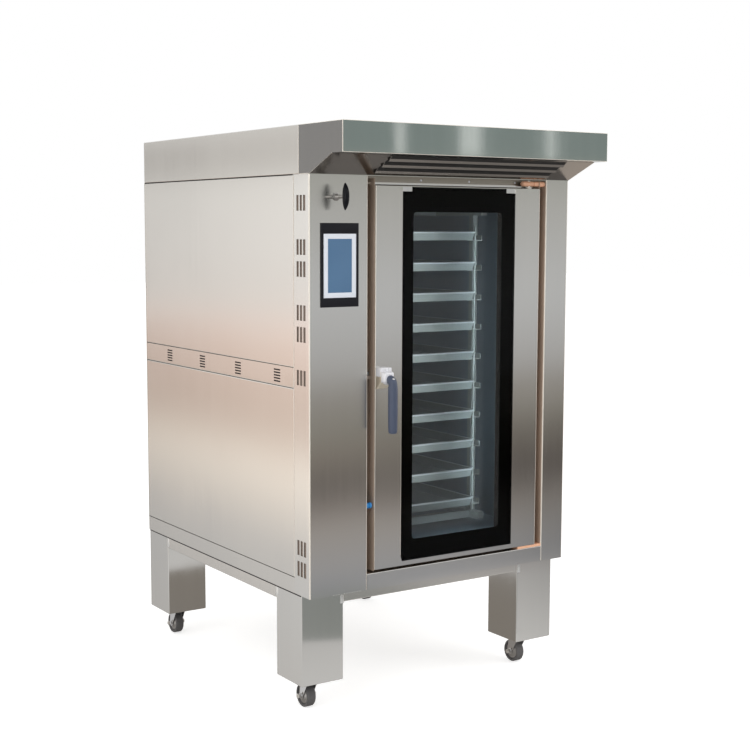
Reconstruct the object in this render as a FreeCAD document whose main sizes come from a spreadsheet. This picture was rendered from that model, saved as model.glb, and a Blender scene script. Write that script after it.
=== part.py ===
"""Rotating rack oven on a castered stand, in millimetres.

Origin on the floor under the middle of the outer box, +X to the right seen from the front,
the front faces -Y, +Z up.  Every sub-part is an object of one document whose sizes are bound
to the sheet named Dims.
"""
import FreeCAD, Part
import math
import os
import re
import Sketcher

SIZES = {
    # outer cabinet
    "cabinet_width": 1000,
    "cabinet_depth": 1165,
    "cabinet_height": 1275,
    "skin": 1.5,
    "panel_gap": 0.8,
    "side_flange": 10,
    "column_side": 90.5,
    "column_return": 60,
    "column_lip": 12,
    "control_width": 206,
    "right_column_width": 94,
    "sill_height": 52,
    "base_upstand": 50,
    "lower_panel_top": 633.5,
    "vent_strip_top": 697,
    # header over the door
    "header_drop": 28,
    "header_recess": 35,
    "header_lip_height": 9,
    "header_lip_reach": 6,
    "screw_radius": 4,
    "screw_head": 2,
    # vents
    "column_vent_top": 1190.7,
    "column_vent_pitch": 65.1,
    "column_vent_middle": 47,
    "slot_width": 13,
    "slot_pitch": 19.5,
    "slot_length": 46,
    "strip_vent_first": 194.5,
    "strip_vent_pitch": 256.9,
    "strip_slot_length": 40,
    "strip_slot_width": 4.5,
    "strip_slot_pitch": 8.9,
    "back_vent_height": 250,
    # hood and roof band
    "hood_reach": 185,
    "hood_height": 145,
    "hood_slope_run": 126,
    "hood_slope_rise": 55,
    "hood_back": 61,
    "band_flange": 20,
    "louver_first": 28,
    "louver_pitch": 40,
    "louver_width": 20,
    "louver_length": 675,
    "louver_lift": 7,
    "louver_sheet": 1.2,
    "louver_shift": 49.5,
    # stand
    "leg_height": 288,
    "leg_width": 150,
    "leg_depth": 156,
    "leg_wall": 2,
    "leg_inset": 2,
    "front_leg_setback": 52,
    "rail_height": 40,
    "rail_width": 40,
    # casters
    "caster_height": 102,
    "wheel_radius": 37.5,
    "wheel_width": 30,
    "caster_trail": 24,
    "caster_plate_size": 80,
    "caster_plate_thick": 3,
    "race_radius": 30,
    "race_height": 6,
    "crown_thick": 3,
    "cheek_thick": 2.5,
    "cheek_gap": 1.5,
    "cheek_end_radius": 12,
    "king_pin_radius": 5,
    "king_head_radius": 9,
    "axle_radius": 4,
    "axle_head_radius": 8,
    "axle_head_thick": 2.5,
    # clearances
    "running": 0.05,
    "easy": 0.3,
    # door
    "door_left_gap": 28,
    "door_right_gap": 26,
    "door_bottom_gap": 9,
    "door_top_gap": 30,
    "door_depth": 30,
    "inner_depth": 24,
    "inner_left_step": 34,
    "inner_right_step": 55,
    "inner_end_step": 20,
    "left_stile": 99.5,
    "right_stile": 104,
    "glass_bottom_rail": 14,
    "glass_top_rail": 2,
    "glass_sink": 3,
    "glass_thick": 6,
    "border_thick": 0.4,
    "window_left_margin": 46,
    "window_right_margin": 48.5,
    "window_bottom_margin": 64.5,
    "window_top_margin": 76.5,
    "window_corner": 12,
    "view_margin": 14,
    "inner_glass_thick": 4,
    "inner_glass_margin": 30,
    "gasket_width": 13,
    "gasket_edge": 2,
    "gasket_height": 5.7,
    "mouth_step": 16,
    "mouth_flange": 20,
    "clip_length": 36,
    "clip_height": 14,
    # hinge
    "hinge_inset": 37,
    "hinge_setback": 15,
    "hinge_pin_radius": 5,
    "hinge_bar_radius": 8.5,
    "hinge_bar_end": 30,
    "hinge_bar_height": 16,
    "hinge_groove_radius": 7,
    "hinge_groove_width": 4,
    "hinge_plate_thick": 8,
    "hinge_plate_width": 36,
    "hinge_collar_radius": 9,
    # door handle and latch
    "handle_setin": 21,
    "handle_height": 660,
    "handle_standoff": 66,
    "grip_radius": 15,
    "grip_length": 165,
    "grip_end_wall": 10,
    "grip_sleeve_length": 22,
    "spindle_radius": 7,
    "base_block_width": 40,
    "base_block_height": 66,
    "base_block_depth": 30,
    "cam_reach": 43,
    "cam_width": 10,
    "cam_thick": 5,
    "keeper_reach": 22,
    "keeper_thick": 8,
    "keeper_base": 3,
    "keeper_height": 60,
    "fitting_height": 265,
    "fitting_radius": 9,
    "fitting_length": 18,
    # control panel
    "screen_left": 39,
    "screen_bottom": 882,
    "screen_width": 132,
    "screen_height": 250,
    "screen_proud": 4,
    "screen_case_depth": 32,
    "display_side": 9,
    "display_bottom": 28,
    "display_top": 32,
    # damper and flue
    "damper_x": 93,
    "damper_height": 1209,
    "damper_rod_radius": 4,
    "damper_stem_radius": 7,
    "damper_standoff": 55,
    "damper_head_height": 80,
    "damper_head_radius": 11,
    "flue_radius": 50,
    "flue_step": 1,
    "flue_setback": 160,
    "flue_spigot": 60,
    "flue_bottom": 1060,
    "flue_branch_radius": 30,
    "flue_branch_height": 1120,
    # baking chamber
    "chamber_left": 157,
    "chamber_right_side": 43,
    "chamber_floor_height": 90,
    "chamber_ceiling": 1220,
    "chamber_depth": 955,
    "baffle_setback": 825,
    "baffle_side_gap": 50,
    "insulation": 40,
    "right_insulation": 28,
    # rotating rack
    "rack_x": 557,
    "rack_y": 480,
    "tray_width": 400,
    "tray_length": 600,
    "tray_depth": 28,
    "tray_wall": 1.5,
    "tray_flare": 10,
    "tray_rim": 4,
    "tray_step_height": 100,
    "first_rim": 205,
    "rack_half_width": 258,
    "upright_size": 20,
    "upright_spread": 220,
    "runner_width": 62,
    "runner_thick": 2,
    "runner_wall": 16,
    "runner_half_length": 280,
    "guide_radius": 3,
    "guide_clearance": 3,
    "guide_end": 20,
    "rack_bar": 25,
    "rack_bottom": 120,
    "rack_top": 1160,
    "hub_radius": 24,
    "hub_gap": 10,
    "shaft_radius": 10,
    "shaft_reach": 50,
    "floor_pin_radius": 10,
    "floor_plate_radius": 45,
    "floor_plate_thick": 8,
    # drives, heat and services
    "fan_height": 650,
    "fan_radius": 170,
    "fan_depth": 70,
    "fan_plate": 2,
    "fan_hub_radius": 22,
    "fan_shaft_radius": 9,
    "fan_inlet_radius": 120,
    "fan_rear_gap": 22,
    "fan_motor_radius": 62,
    "fan_motor_length": 85,
    "grille_bar": 8,
    "grille_slot": 16,
    "coil_inner": 200,
    "coil_step": 15,
    "coil_pitch": 28,
    "coil_radius": 5,
    "gearbox_size": 110,
    "gearbox_height": 86,
    "gearbox_foot": 8,
    "gearmotor_radius": 40,
    "gearmotor_length": 190,
    "control_box_setback": 290,
    "control_box_low": 320,
    "control_box_depth": 85,
    "control_box_length": 350,
    "control_box_height": 340,
    "water_x": 70,
    "water_height": 140,
    "water_pipe_radius": 6,
    "valve_size": 44,
    "inlet_radius": 12,
    "inlet_bore": 9,
    "gland_x": 120,
    "gland_height": 90,
    "gland_radius": 14,
    "gland_bore": 8,
    "gland_length": 22,
}

# places worked out from the sizes, as expressions
PLACES = {
    "front": "(hood_reach - cabinet_depth) / 2",
    "back": "(hood_reach + cabinet_depth) / 2",
    "left": "-cabinet_width / 2",
    "right": "cabinet_width / 2",
    "base": "caster_height + leg_height",
    "roof": "base + cabinet_height",
    "side_start": "front + column_side",
    "bay_left": "left + control_width",
    "bay_right": "right - right_column_width",
    "frame_front": "front + column_return",
    "frame_back": "frame_front + skin",
    "door_left": "bay_left + door_left_gap",
    "door_right": "bay_right - door_right_gap",
    "door_bottom": "base + sill_height + door_bottom_gap",
    "door_top": "roof - door_top_gap",
    "door_back": "front + door_depth",
    "inner_left": "door_left + inner_left_step",
    "inner_right": "door_right - inner_right_step",
    "inner_bottom": "door_bottom + inner_end_step",
    "inner_top": "door_top - inner_end_step",
    "inner_back": "door_back + inner_depth",
    "glass_left": "door_left + left_stile",
    "glass_right": "door_right - right_stile",
    "glass_bottom": "door_bottom + glass_bottom_rail",
    "glass_top": "door_top - glass_top_rail",
    "glass_front": "front + glass_sink",
    "glass_back": "glass_front + glass_thick",
    "seat_front": "glass_back + border_thick",
    "window_left": "glass_left + window_left_margin",
    "window_right": "glass_right - window_right_margin",
    "window_bottom": "glass_bottom + window_bottom_margin",
    "window_top": "glass_top - window_top_margin",
    "mouth_left": "inner_left + mouth_step",
    "mouth_right": "inner_right - mouth_step",
    "mouth_bottom": "inner_bottom + mouth_step",
    "mouth_top": "inner_top - mouth_step",
    "pin_x": "door_right - hinge_inset",
    "pin_y": "front + hinge_setback",
    "hinge_z": "door_top + hinge_bar_height",
    "handle_x": "door_left + handle_setin",
    "handle_z": "base + handle_height",
    "damper_place": "left + damper_x",
    "damper_z": "base + damper_height",
    "flue_y": "front + flue_setback",
    "room_left": "left + chamber_left",
    "room_right": "right - chamber_right_side",
    "room_floor": "base + chamber_floor_height",
    "room_top": "base + chamber_ceiling",
    "room_back": "frame_front + chamber_depth",
    "baffle_y": "frame_front + baffle_setback",
    "axis_x": "left + rack_x",
    "axis_y": "front + rack_y",
    "rack_low": "base + rack_bottom",
    "rack_high": "base + rack_top",
    "fan_z": "base + fan_height",
    "fan_back": "room_back - fan_rear_gap",
    "fan_front": "fan_back - fan_depth",
    "race_bottom": "caster_height - caster_plate_thick - race_height",
    "crown_top": "race_bottom - easy",
    "crown_bottom": "crown_top - crown_thick",
    "cheek_inside": "wheel_width / 2 + cheek_gap",
    "cheek_outside": "cheek_inside + cheek_thick",
}

VENT_ROWS = (0, 2, 3, 5, 6, 8, 16, 17)
TRAY_COUNT = 10
BLADE_COUNT = 12
CORNERS = {"fl": (-1, -1), "fr": (1, -1), "rl": (-1, 1), "rr": (1, 1)}

doc = FreeCAD.newDocument("rack_oven")
sheet = doc.addObject("Spreadsheet::Sheet", "Dims")
for row, (alias, number) in enumerate(SIZES.items(), start=1):
    sheet.set(f"A{row}", alias)
    sheet.set(f"B{row}", str(number))
    sheet.setAlias(f"B{row}", alias)
doc.recompute()

NODES = []


def ref(text):
    """Turn the words of an expression into references to the sheet."""
    def swap(match):
        word = match.group(0)
        if word in PLACES:
            return "(" + ref(PLACES[word]) + ")"
        return "Dims." + word if word in SIZES else word
    return re.sub(r"[a-z][a-z_]*[a-z]", swap, str(text))


def value(text):
    """The number that an expression has now."""
    return float(sheet.evalExpression(ref(text)))


def place(item, where, turn=None):
    """Bind an object's position, after its fixed rotation (axis, degrees)."""
    if turn:
        item.Placement = FreeCAD.Placement(FreeCAD.Vector(),
                                           FreeCAD.Rotation(FreeCAD.Vector(*turn[0]), turn[1]))
    for axis, text in zip("xyz", where):
        item.setExpression(".Placement.Base." + axis, ref(text))
    return item


def node(item, label):
    """Name a finished sub-part."""
    item.Label = label
    NODES.append(item)
    return item


def box(xs, ys, zs):
    """A block between two places on each axis."""
    item = doc.addObject("Part::Box", "Block")
    for side, (low, high) in zip(("Length", "Width", "Height"), (xs, ys, zs)):
        item.setExpression(side, ref(f"({high}) - ({low})"))
    return place(item, (xs[0], ys[0], zs[0]))


def rod(axis, radius, centre, low, high):
    """A cylinder along x, y or z; centre gives the other two coordinates in x, y, z order."""
    item = doc.addObject("Part::Cylinder", "Rod")
    item.setExpression("Radius", ref(radius))
    item.setExpression("Height", ref(f"({high}) - ({low})"))
    where = list(centre)
    where.insert("xyz".index(axis), low)
    turn = {"x": ((0, 1, 0), 90), "y": ((1, 0, 0), -90), "z": None}[axis]
    return place(item, where, turn)


def ball(radius, centre):
    """A sphere with its middle at centre."""
    item = doc.addObject("Part::Sphere", "Ball")
    item.setExpression("Radius", ref(radius))
    return place(item, centre)


def join(*items):
    """Weld solids into one."""
    item = doc.addObject("Part::MultiFuse", "Weld")
    item.Shapes = list(items)
    item.Refine = True
    return item


def group(*items):
    """Keep solids apart in one object."""
    item = doc.addObject("Part::Compound", "Set")
    item.Links = list(items)
    return item


def cut(base, *tools):
    """Take the tools away from the base."""
    item = doc.addObject("Part::Cut", "Cut")
    item.Base = base
    item.Tool = tools[0] if len(tools) == 1 else group(*tools)
    item.Refine = True
    return item


def tray_shell(xs, ys, zs, open_side):
    """A folded sheet tray, open on one side: 'x+', 'x-', 'y+' or 'z+'."""
    inner = []
    for name, (low, high) in zip("xyz", (xs, ys, zs)):
        inner.append([low if open_side == name + "-" else f"({low}) + skin",
                      high if open_side == name + "+" else f"({high}) - skin"])
    return cut(box(xs, ys, zs), box(*inner))


def new_body(where=("0", "0", "0"), turn=None):
    """An empty feature body at its place."""
    return place(doc.addObject("PartDesign::Body", "Body"), where, turn)


def sketch_on(body, role, offset="0"):
    """A sketch on one of the body's own planes, moved along the plane's normal."""
    sketch = body.newObject("Sketcher::SketchObject", "Profile")
    plane = next(item for item in body.Origin.OriginFeatures if item.Role == role)
    sketch.AttachmentSupport = (plane, [""])
    sketch.MapMode = "FlatFace"
    sketch.setExpression(".AttachmentOffset.Base.z", ref(offset))
    return sketch


def draw(sketch, points):
    """A closed outline of straight sides through bound points."""
    first = sketch.GeometryCount
    flat = [FreeCAD.Vector(value(u), value(v), 0) for u, v in points]
    sides = [Part.LineSegment(a, b) for a, b in zip(flat, flat[1:] + flat[:1])]
    sketch.addGeometry(sides)
    for index, (point, texts) in enumerate(zip(flat, points)):
        following = first + (index + 1) % len(flat)
        sketch.addConstraint(Sketcher.Constraint("Coincident", first + index, 2, following, 1))
        for kind, number, text in (("DistanceX", point.x, texts[0]), ("DistanceY", point.y, texts[1])):
            rule = sketch.addConstraint(Sketcher.Constraint(kind, -1, 1, first + index, 1, number))
            sketch.setExpression(f"Constraints[{rule}]", ref(text))


def draw_circle(sketch, centre, radius):
    """A bound circle."""
    middle = FreeCAD.Vector(value(centre[0]), value(centre[1]), 0)
    index = sketch.addGeometry(Part.Circle(middle, FreeCAD.Vector(0, 0, 1), value(radius)))
    rules = (("DistanceX", -1, 1, index, 3, middle.x, centre[0]),
             ("DistanceY", -1, 1, index, 3, middle.y, centre[1]),
             ("Radius", index, value(radius), radius))
    for rule in rules:
        number = sketch.addConstraint(Sketcher.Constraint(*rule[:-1]))
        sketch.setExpression(f"Constraints[{number}]", ref(rule[-1]))


def pad(body, sketch, length, backwards=False, both=False):
    """Raise a profile along its plane's normal."""
    feature = body.newObject("PartDesign::Pad", "Pad")
    feature.Profile = sketch
    feature.Reversed = backwards
    feature.Midplane = both
    feature.setExpression("Length", ref(length))
    body.Tip = feature
    return feature


def pocket(body, sketch, length, backwards=False, both=False):
    """Sink a profile against its plane's normal."""
    feature = body.newObject("PartDesign::Pocket", "Pocket")
    feature.Profile = sketch
    feature.Reversed = backwards
    feature.Midplane = both
    feature.setExpression("Length", ref(length))
    body.Tip = feature
    return feature


def spin(body, sketch, axis):
    """Revolve a profile about one of its sketch's axes."""
    feature = body.newObject("PartDesign::Revolution", "Spin")
    feature.Profile = sketch
    feature.ReferenceAxis = (sketch, [axis])
    feature.Angle = 360
    body.Tip = feature
    return feature


def repeat(body, features, sketch, axis, step, count):
    """Copy features in a row."""
    doc.recompute()
    pattern = body.newObject("PartDesign::LinearPattern", "Row")
    pattern.Originals = features
    pattern.Direction = (sketch, [axis])
    pattern.Occurrences = count
    pattern.setExpression("Length", ref(f"({step}) * {count - 1}"))
    body.Tip = pattern
    return pattern


def around(body, features, sketch, count):
    """Copy features round the sketch's normal."""
    doc.recompute()
    pattern = body.newObject("PartDesign::PolarPattern", "Ring")
    pattern.Originals = features
    pattern.Axis = (sketch, ["N_Axis"])
    pattern.Angle = 360
    pattern.Occurrences = count
    body.Tip = pattern
    return pattern


# ---------------------------------------------------------------- stand and casters
def leg_spans(side, end):
    """The x and y spans of one leg."""
    xs = ("left + leg_inset", "left + leg_inset + leg_width")
    if side > 0:
        xs = ("right - leg_inset - leg_width", "right - leg_inset")
    ys = ("front + front_leg_setback", "front + front_leg_setback + leg_depth")
    if end > 0:
        ys = ("back - leg_inset - leg_depth", "back - leg_inset")
    return xs, ys


def stand_legs():
    legs = []
    for side, end in CORNERS.values():
        xs, ys = leg_spans(side, end)
        outer = box(xs, ys, ("caster_height", "base"))
        inner = box([f"{xs[0]} + leg_wall", f"{xs[1]} - leg_wall"],
                    [f"{ys[0]} + leg_wall", f"{ys[1]} - leg_wall"], ("caster_height + leg_wall", "base"))
        legs.append(cut(outer, inner))
    node(group(*legs), "stand_legs")


def square_tube(along, xs, ys, zs):
    """A rail of square tube, open at both ends, along x or y."""
    spans = {"x": xs, "y": ys, "z": zs}
    inner = [spans[name] if name == along else (f"{low} + leg_wall", f"{high} - leg_wall")
             for name, (low, high) in spans.items()]
    return cut(box(xs, ys, zs), box(*inner))


def stand_rails():
    heights = ("base - rail_height", "base")
    (left_low, left_high), (front_low, front_high) = leg_spans(-1, -1)
    (right_low, right_high), (back_low, back_high) = leg_spans(1, 1)
    rails = [square_tube("y", (left_low, f"{left_low} + rail_width"), (front_high, back_low), heights),
             square_tube("y", (f"{right_high} - rail_width", right_high), (front_high, back_low), heights),
             square_tube("x", (left_high, right_low), (front_low, f"{front_low} + rail_width"), heights),
             square_tube("x", (left_high, right_low), (f"{back_high} - rail_width", back_high), heights)]
    node(group(*rails), "stand_rails")


def caster_centre(side, end):
    """The swivel axis under one leg."""
    xs, ys = leg_spans(side, end)
    return f"({xs[0]} + {xs[1]}) / 2", f"({ys[0]} + {ys[1]}) / 2"


def caster_plates():
    plates = []
    for side, end in CORNERS.values():
        x, y = caster_centre(side, end)
        half = "caster_plate_size / 2"
        plate = box((f"{x} - {half}", f"{x} + {half}"), (f"{y} - {half}", f"{y} + {half}"),
                    ("caster_height - caster_plate_thick", "caster_height"))
        race = rod("z", "race_radius", (x, y), "race_bottom", "caster_height - caster_plate_thick")
        pin = rod("z", "king_pin_radius", (x, y), "crown_bottom - easy", "race_bottom")
        head = rod("z", "king_head_radius", (x, y), "crown_bottom - easy - crown_thick",
                   "crown_bottom - easy")
        plates.append(join(plate, race, pin, head))
    node(group(*plates), "caster_plates")


def caster_fork(name, side, end):
    """Pressed fork: crown, two cheeks and the axle bolt, turned back by the trail."""
    body = new_body((*caster_centre(side, end), "0"))
    cheek = sketch_on(body, "YZ_Plane")
    draw(cheek, [("-race_radius + 10", "crown_top"), ("race_radius", "crown_top"),
                 ("caster_trail + cheek_end_radius", "wheel_radius"),
                 ("caster_trail - cheek_end_radius", "wheel_radius")])
    pad(body, cheek, "2 * cheek_outside", both=True)
    foot = sketch_on(body, "YZ_Plane")
    draw_circle(foot, ("caster_trail", "wheel_radius"), "cheek_end_radius")
    pad(body, foot, "2 * cheek_outside", both=True)
    inside = sketch_on(body, "XZ_Plane")
    draw(inside, [("-cheek_inside", "0"), ("cheek_inside", "0"), ("cheek_inside", "crown_bottom"),
                  ("-cheek_inside", "crown_bottom")])
    pocket(body, inside, "8 * wheel_radius", both=True)
    crown = sketch_on(body, "XY_Plane", "crown_bottom")
    draw_circle(crown, ("0", "0"), "race_radius + 1")
    pad(body, crown, "crown_thick")
    hole = sketch_on(body, "XY_Plane", "crown_top")
    draw_circle(hole, ("0", "0"), "king_pin_radius + running")
    pocket(body, hole, "crown_thick")
    bolt = sketch_on(body, "YZ_Plane")
    draw_circle(bolt, ("caster_trail", "wheel_radius"), "axle_radius")
    pad(body, bolt, "2 * cheek_outside", both=True)
    for offset, back in (("cheek_outside", False), ("-cheek_outside", True)):
        head = sketch_on(body, "YZ_Plane", offset)
        draw_circle(head, ("caster_trail", "wheel_radius"), "axle_head_radius")
        pad(body, head, "axle_head_thick", backwards=back)
    node(body, "caster_fork_" + name)


def caster_wheel(name, side, end):
    """Turned wheel: hub, dished web and tyre with chamfered edges."""
    x, y = caster_centre(side, end)
    body = new_body((x, f"{y} + caster_trail", "wheel_radius"))
    half = sketch_on(body, "XY_Plane")
    bore = "axle_radius + running"
    draw(half, [("-wheel_width / 2 - 1", bore), ("wheel_width / 2 + 1", bore),
                ("wheel_width / 2 + 1", "axle_radius + 5"), ("wheel_width / 3", "axle_radius + 7"),
                ("wheel_width / 3", "wheel_radius - 9"), ("wheel_width / 2", "wheel_radius - 7"),
                ("wheel_width / 2", "wheel_radius - 2.5"), ("wheel_width / 2 - 3", "wheel_radius"),
                ("3 - wheel_width / 2", "wheel_radius"), ("-wheel_width / 2", "wheel_radius - 2.5"),
                ("-wheel_width / 2", "wheel_radius - 7"), ("-wheel_width / 3", "wheel_radius - 9"),
                ("-wheel_width / 3", "axle_radius + 7"), ("-wheel_width / 2 - 1", "axle_radius + 5")])
    spin(body, half, "H_Axis")
    node(body, "caster_wheel_" + name)


# ---------------------------------------------------------------- cabinet sheet metal
def base_tray():
    floor = box(("left", "right"), ("front", "back"), ("base", "base + skin"))
    rise = ("base + skin", "base + base_upstand")
    sides = [box(("left", "left + skin"), ("side_start", "back"), rise),
             box(("right - skin", "right"), ("side_start", "back"), rise),
             box(("left + skin", "right - skin"), ("back - skin", "back"), rise)]
    node(join(floor, *sides), "base_tray")


def column(outer, door_side, inwards):
    """A folded corner post: side, front face and the return beside the door."""
    body = new_body()
    plan = sketch_on(body, "XY_Plane", "base + skin")
    step = f"{inwards} * skin"
    lip = f"{inwards} * column_lip"
    draw(plan, [(outer, "front"), (door_side, "front"), (door_side, "frame_front"),
                (f"{door_side} - {step}", "frame_front"), (f"{door_side} - {step}", "front + skin"),
                (f"{outer} + {step}", "front + skin"), (f"{outer} + {step}", "side_start - skin"),
                (f"{outer} + {lip}", "side_start - skin"), (f"{outer} + {lip}", "side_start"),
                (outer, "side_start")])
    pad(body, plan, "cabinet_height - 2 * skin")
    return body


def control_column():
    body = column("left", "bay_left", 1)
    face = sketch_on(body, "XZ_Plane", "-front")
    x, z = "left + screen_left + display_side", "base + screen_bottom + display_side"
    draw(face, [(x, z), (f"{x} + screen_width - 2 * display_side", z),
                (f"{x} + screen_width - 2 * display_side", f"{z} + screen_height - 2 * display_side"),
                (x, f"{z} + screen_height - 2 * display_side")])
    draw_circle(face, ("damper_place", "damper_z"), "damper_stem_radius + easy")
    pocket(body, face, "skin")
    slots = []
    for line in VENT_ROWS:
        middle = f"base + column_vent_top - {line} * column_vent_pitch"
        for place_in_row in (-1, 0, 1):
            y = f"front + column_vent_middle + {place_in_row} * slot_pitch"
            slots.append(box(("left - skin", "left + 2 * skin"),
                             (f"{y} - slot_width / 2", f"{y} + slot_width / 2"),
                             (f"{middle} - slot_length / 2", f"{middle} + slot_length / 2")))
    node(cut(body, *slots), "control_column")


def right_column():
    node(column("right", "bay_right", -1), "right_column")


def front_sill():
    xs = ("bay_left", "bay_right")
    top = "base + sill_height"
    outer = box(xs, ("front", "frame_front"), ("base + skin", top))
    hollow = box(xs, ("front + skin", "frame_front"), ("base + skin", f"{top} - skin"))
    node(cut(outer, hollow), "front_sill")


def header_rail():
    """Folded rail over the door: recessed face, lip and a shelf back to the chamber front."""
    body = new_body()
    section = sketch_on(body, "YZ_Plane", "bay_left")
    face, lip = "front + header_recess", "front + header_recess - header_lip_reach"
    low, step = "roof - header_drop", "roof - header_drop + header_lip_height"
    draw(section, [(lip, low), (lip, step), (face, step), (face, "roof - skin"),
                   (f"{face} + skin", "roof - skin"), (f"{face} + skin", f"{step} - skin"),
                   (f"{lip} + skin", f"{step} - skin"), (f"{lip} + skin", f"{low} + skin"),
                   ("frame_front", f"{low} + skin"), ("frame_front", low)])
    pad(body, section, "bay_right - bay_left")
    node(body, "header_rail")


def front_frame():
    """The chamber's front plate with its turned-in mouth."""
    plate = box(("room_left - skin", "room_right + skin"), ("frame_front", "frame_back"),
                ("base + skin", "roof - skin"))
    collar = box(("mouth_left - skin", "mouth_right + skin"), ("frame_back", "frame_back + mouth_flange"),
                 ("mouth_bottom - skin", "mouth_top + skin"))
    mouth = box(("mouth_left", "mouth_right"), ("frame_front", "frame_back + mouth_flange"),
                ("mouth_bottom", "mouth_top"))
    node(cut(join(plate, collar), mouth), "front_frame")


def side_panels():
    ys = ("side_start + panel_gap", "back - skin")
    lower = ("base + base_upstand + panel_gap", "base + lower_panel_top")
    strip = ("base + lower_panel_top + panel_gap", "base + vent_strip_top")
    upper = ("base + vent_strip_top + panel_gap", "roof - skin")
    upper_right = ("base + lower_panel_top + panel_gap", "roof - skin")
    left_xs, right_xs = ("left", "left + side_flange"), ("right - side_flange", "right")
    node(group(tray_shell(left_xs, ys, lower, "x+"), tray_shell(left_xs, ys, upper, "x+")),
         "side_panels_left")
    node(group(tray_shell(right_xs, ys, lower, "x-"), tray_shell(right_xs, ys, upper_right, "x-")),
         "side_panels_right")
    middle = "base + (lower_panel_top + vent_strip_top) / 2"
    slots = []
    for index in range(4):
        y = f"front + strip_vent_first + {index} * strip_vent_pitch"
        for line in range(-2, 3):
            z = f"{middle} + {line} * strip_slot_pitch"
            slots.append(box(("left - skin", "left + 2 * skin"),
                             (f"{y} - strip_slot_length / 2", f"{y} + strip_slot_length / 2"),
                             (f"{z} - strip_slot_width / 2", f"{z} + strip_slot_width / 2")))
    node(cut(tray_shell(left_xs, ys, strip, "x+"), *slots), "vent_strip_left")


def back_panel():
    """Rear sheet: vents beside the fan motor, holes for water and cable."""
    sheet_box = box(("left", "right"), ("back - skin", "back"), ("base + base_upstand", "roof - skin"))
    tools = [rod("y", "inlet_radius + easy", ("left + water_x", "base + water_height"), "back - skin",
                 "back"),
             rod("y", "gland_radius + easy", ("left + gland_x", "base + gland_height"), "back - skin",
                 "back")]
    for height in ("base + back_vent_height", "roof - back_vent_height"):
        for side in (-1, 0, 1):
            for line in range(-2, 3):
                x = f"axis_x + {side} * strip_vent_pitch"
                z = f"{height} + {2 * line} * strip_slot_pitch"
                tools.append(box((f"{x} - slot_length", f"{x} + slot_length"), ("back - skin", "back"),
                                 (f"{z} - strip_slot_width", f"{z} + strip_slot_width")))
    node(cut(sheet_box, *tools), "back_panel")


def roof_panel():
    plate = box(("left", "right"), ("front", "back"), ("roof - skin", "roof"))
    holes = [rod("z", "shaft_radius + 4", ("axis_x", "axis_y"), "roof - skin", "roof"),
             rod("z", "flue_radius - flue_step + easy", ("damper_place", "flue_y"), "roof - skin", "roof")]
    node(cut(plate, *holes), "roof_panel")


def roof_band():
    """Parapet round the roof: three folded sides with flanges top and bottom."""
    ys = ("front + hood_back", "back")
    top = "roof + hood_height"
    outer = box(("left", "right"), ys, ("roof", top))
    hollow = box(("left + skin", "right - skin"), (ys[0], "back - skin"), ("roof + skin", f"{top} - skin"))
    well = box(("left + band_flange", "right - band_flange"), (ys[0], "back - band_flange"), ("roof", top))
    node(cut(cut(outer, hollow), well), "roof_band")


def hood_canopy():
    """Front extraction hood: fascia, top, rear wall, lip and two cut-away side plates."""
    top, low = "roof + hood_height", "roof + hood_slope_rise"
    tip, fold, rear = "front - hood_reach", "front - hood_slope_run", "front + hood_back"
    middle = new_body()
    section = sketch_on(middle, "YZ_Plane", "left + skin")
    draw(section, [(fold, low), (tip, low), (tip, top), (rear, top), (rear, "roof"), ("front", "roof"),
                   ("front", "roof + skin"), (f"{rear} - skin", "roof + skin"),
                   (f"{rear} - skin", f"{top} - skin"),
                   (f"{tip} + skin", f"{top} - skin"), (f"{tip} + skin", f"{low} + skin"),
                   (fold, f"{low} + skin")])
    pad(middle, section, "cabinet_width - 2 * skin")
    plates = []
    for start in ("left", "right - skin"):
        plate = new_body()
        side = sketch_on(plate, "YZ_Plane", start)
        draw(side, [(tip, low), (tip, top), (rear, top), (rear, "roof"), ("front", "roof"), (fold, low)])
        pad(plate, side, "skin")
        plates.append(plate)
    node(join(middle, *plates), "hood_canopy")


def hood_louver_panel():
    """Sloping underside with pressed louvres, drawn flat and turned to the hood's slope.

    Its own y runs down the slope to the cabinet, its own z into the hood.
    """
    body = new_body(("0", "front", "roof"), ((-1, 0, 0), 20))
    body.setExpression(".Placement.Rotation.Angle", ref("atan(hood_slope_rise / hood_slope_run)"))
    length = "sqrt(hood_slope_run ^ 2 + hood_slope_rise ^ 2)"
    plate = sketch_on(body, "XY_Plane")
    near, far = "-panel_gap", f"panel_gap - {length}"
    draw(plate, [("left + skin", near), ("right - skin", near), ("right - skin", far), ("left + skin", far)])
    pad(body, plate, "louver_sheet")
    slot = sketch_on(body, "XY_Plane", "louver_sheet")
    low, high = "-louver_first", "-louver_first - louver_width"
    xs = ("louver_shift - louver_length / 2", "louver_shift + louver_length / 2")
    draw(slot, [(xs[0], low), (xs[1], low), (xs[1], high), (xs[0], high)])
    opening = pocket(body, slot, "louver_sheet")
    flap = sketch_on(body, "YZ_Plane", xs[0])
    draw(flap,
         [(high, "0"), (high, "louver_sheet"), (low, "louver_sheet - louver_lift"), (low, "-louver_lift")])
    lip = pad(body, flap, "louver_length")
    doc.recompute()
    pattern = body.newObject("PartDesign::LinearPattern", "Row")
    pattern.Originals = [opening, lip]
    pattern.Direction = (plate, ["V_Axis"])
    pattern.Reversed = True
    pattern.Occurrences = 3
    pattern.setExpression("Length", ref("2 * louver_pitch"))
    body.Tip = pattern
    node(body, "hood_louver_panel")


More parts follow.
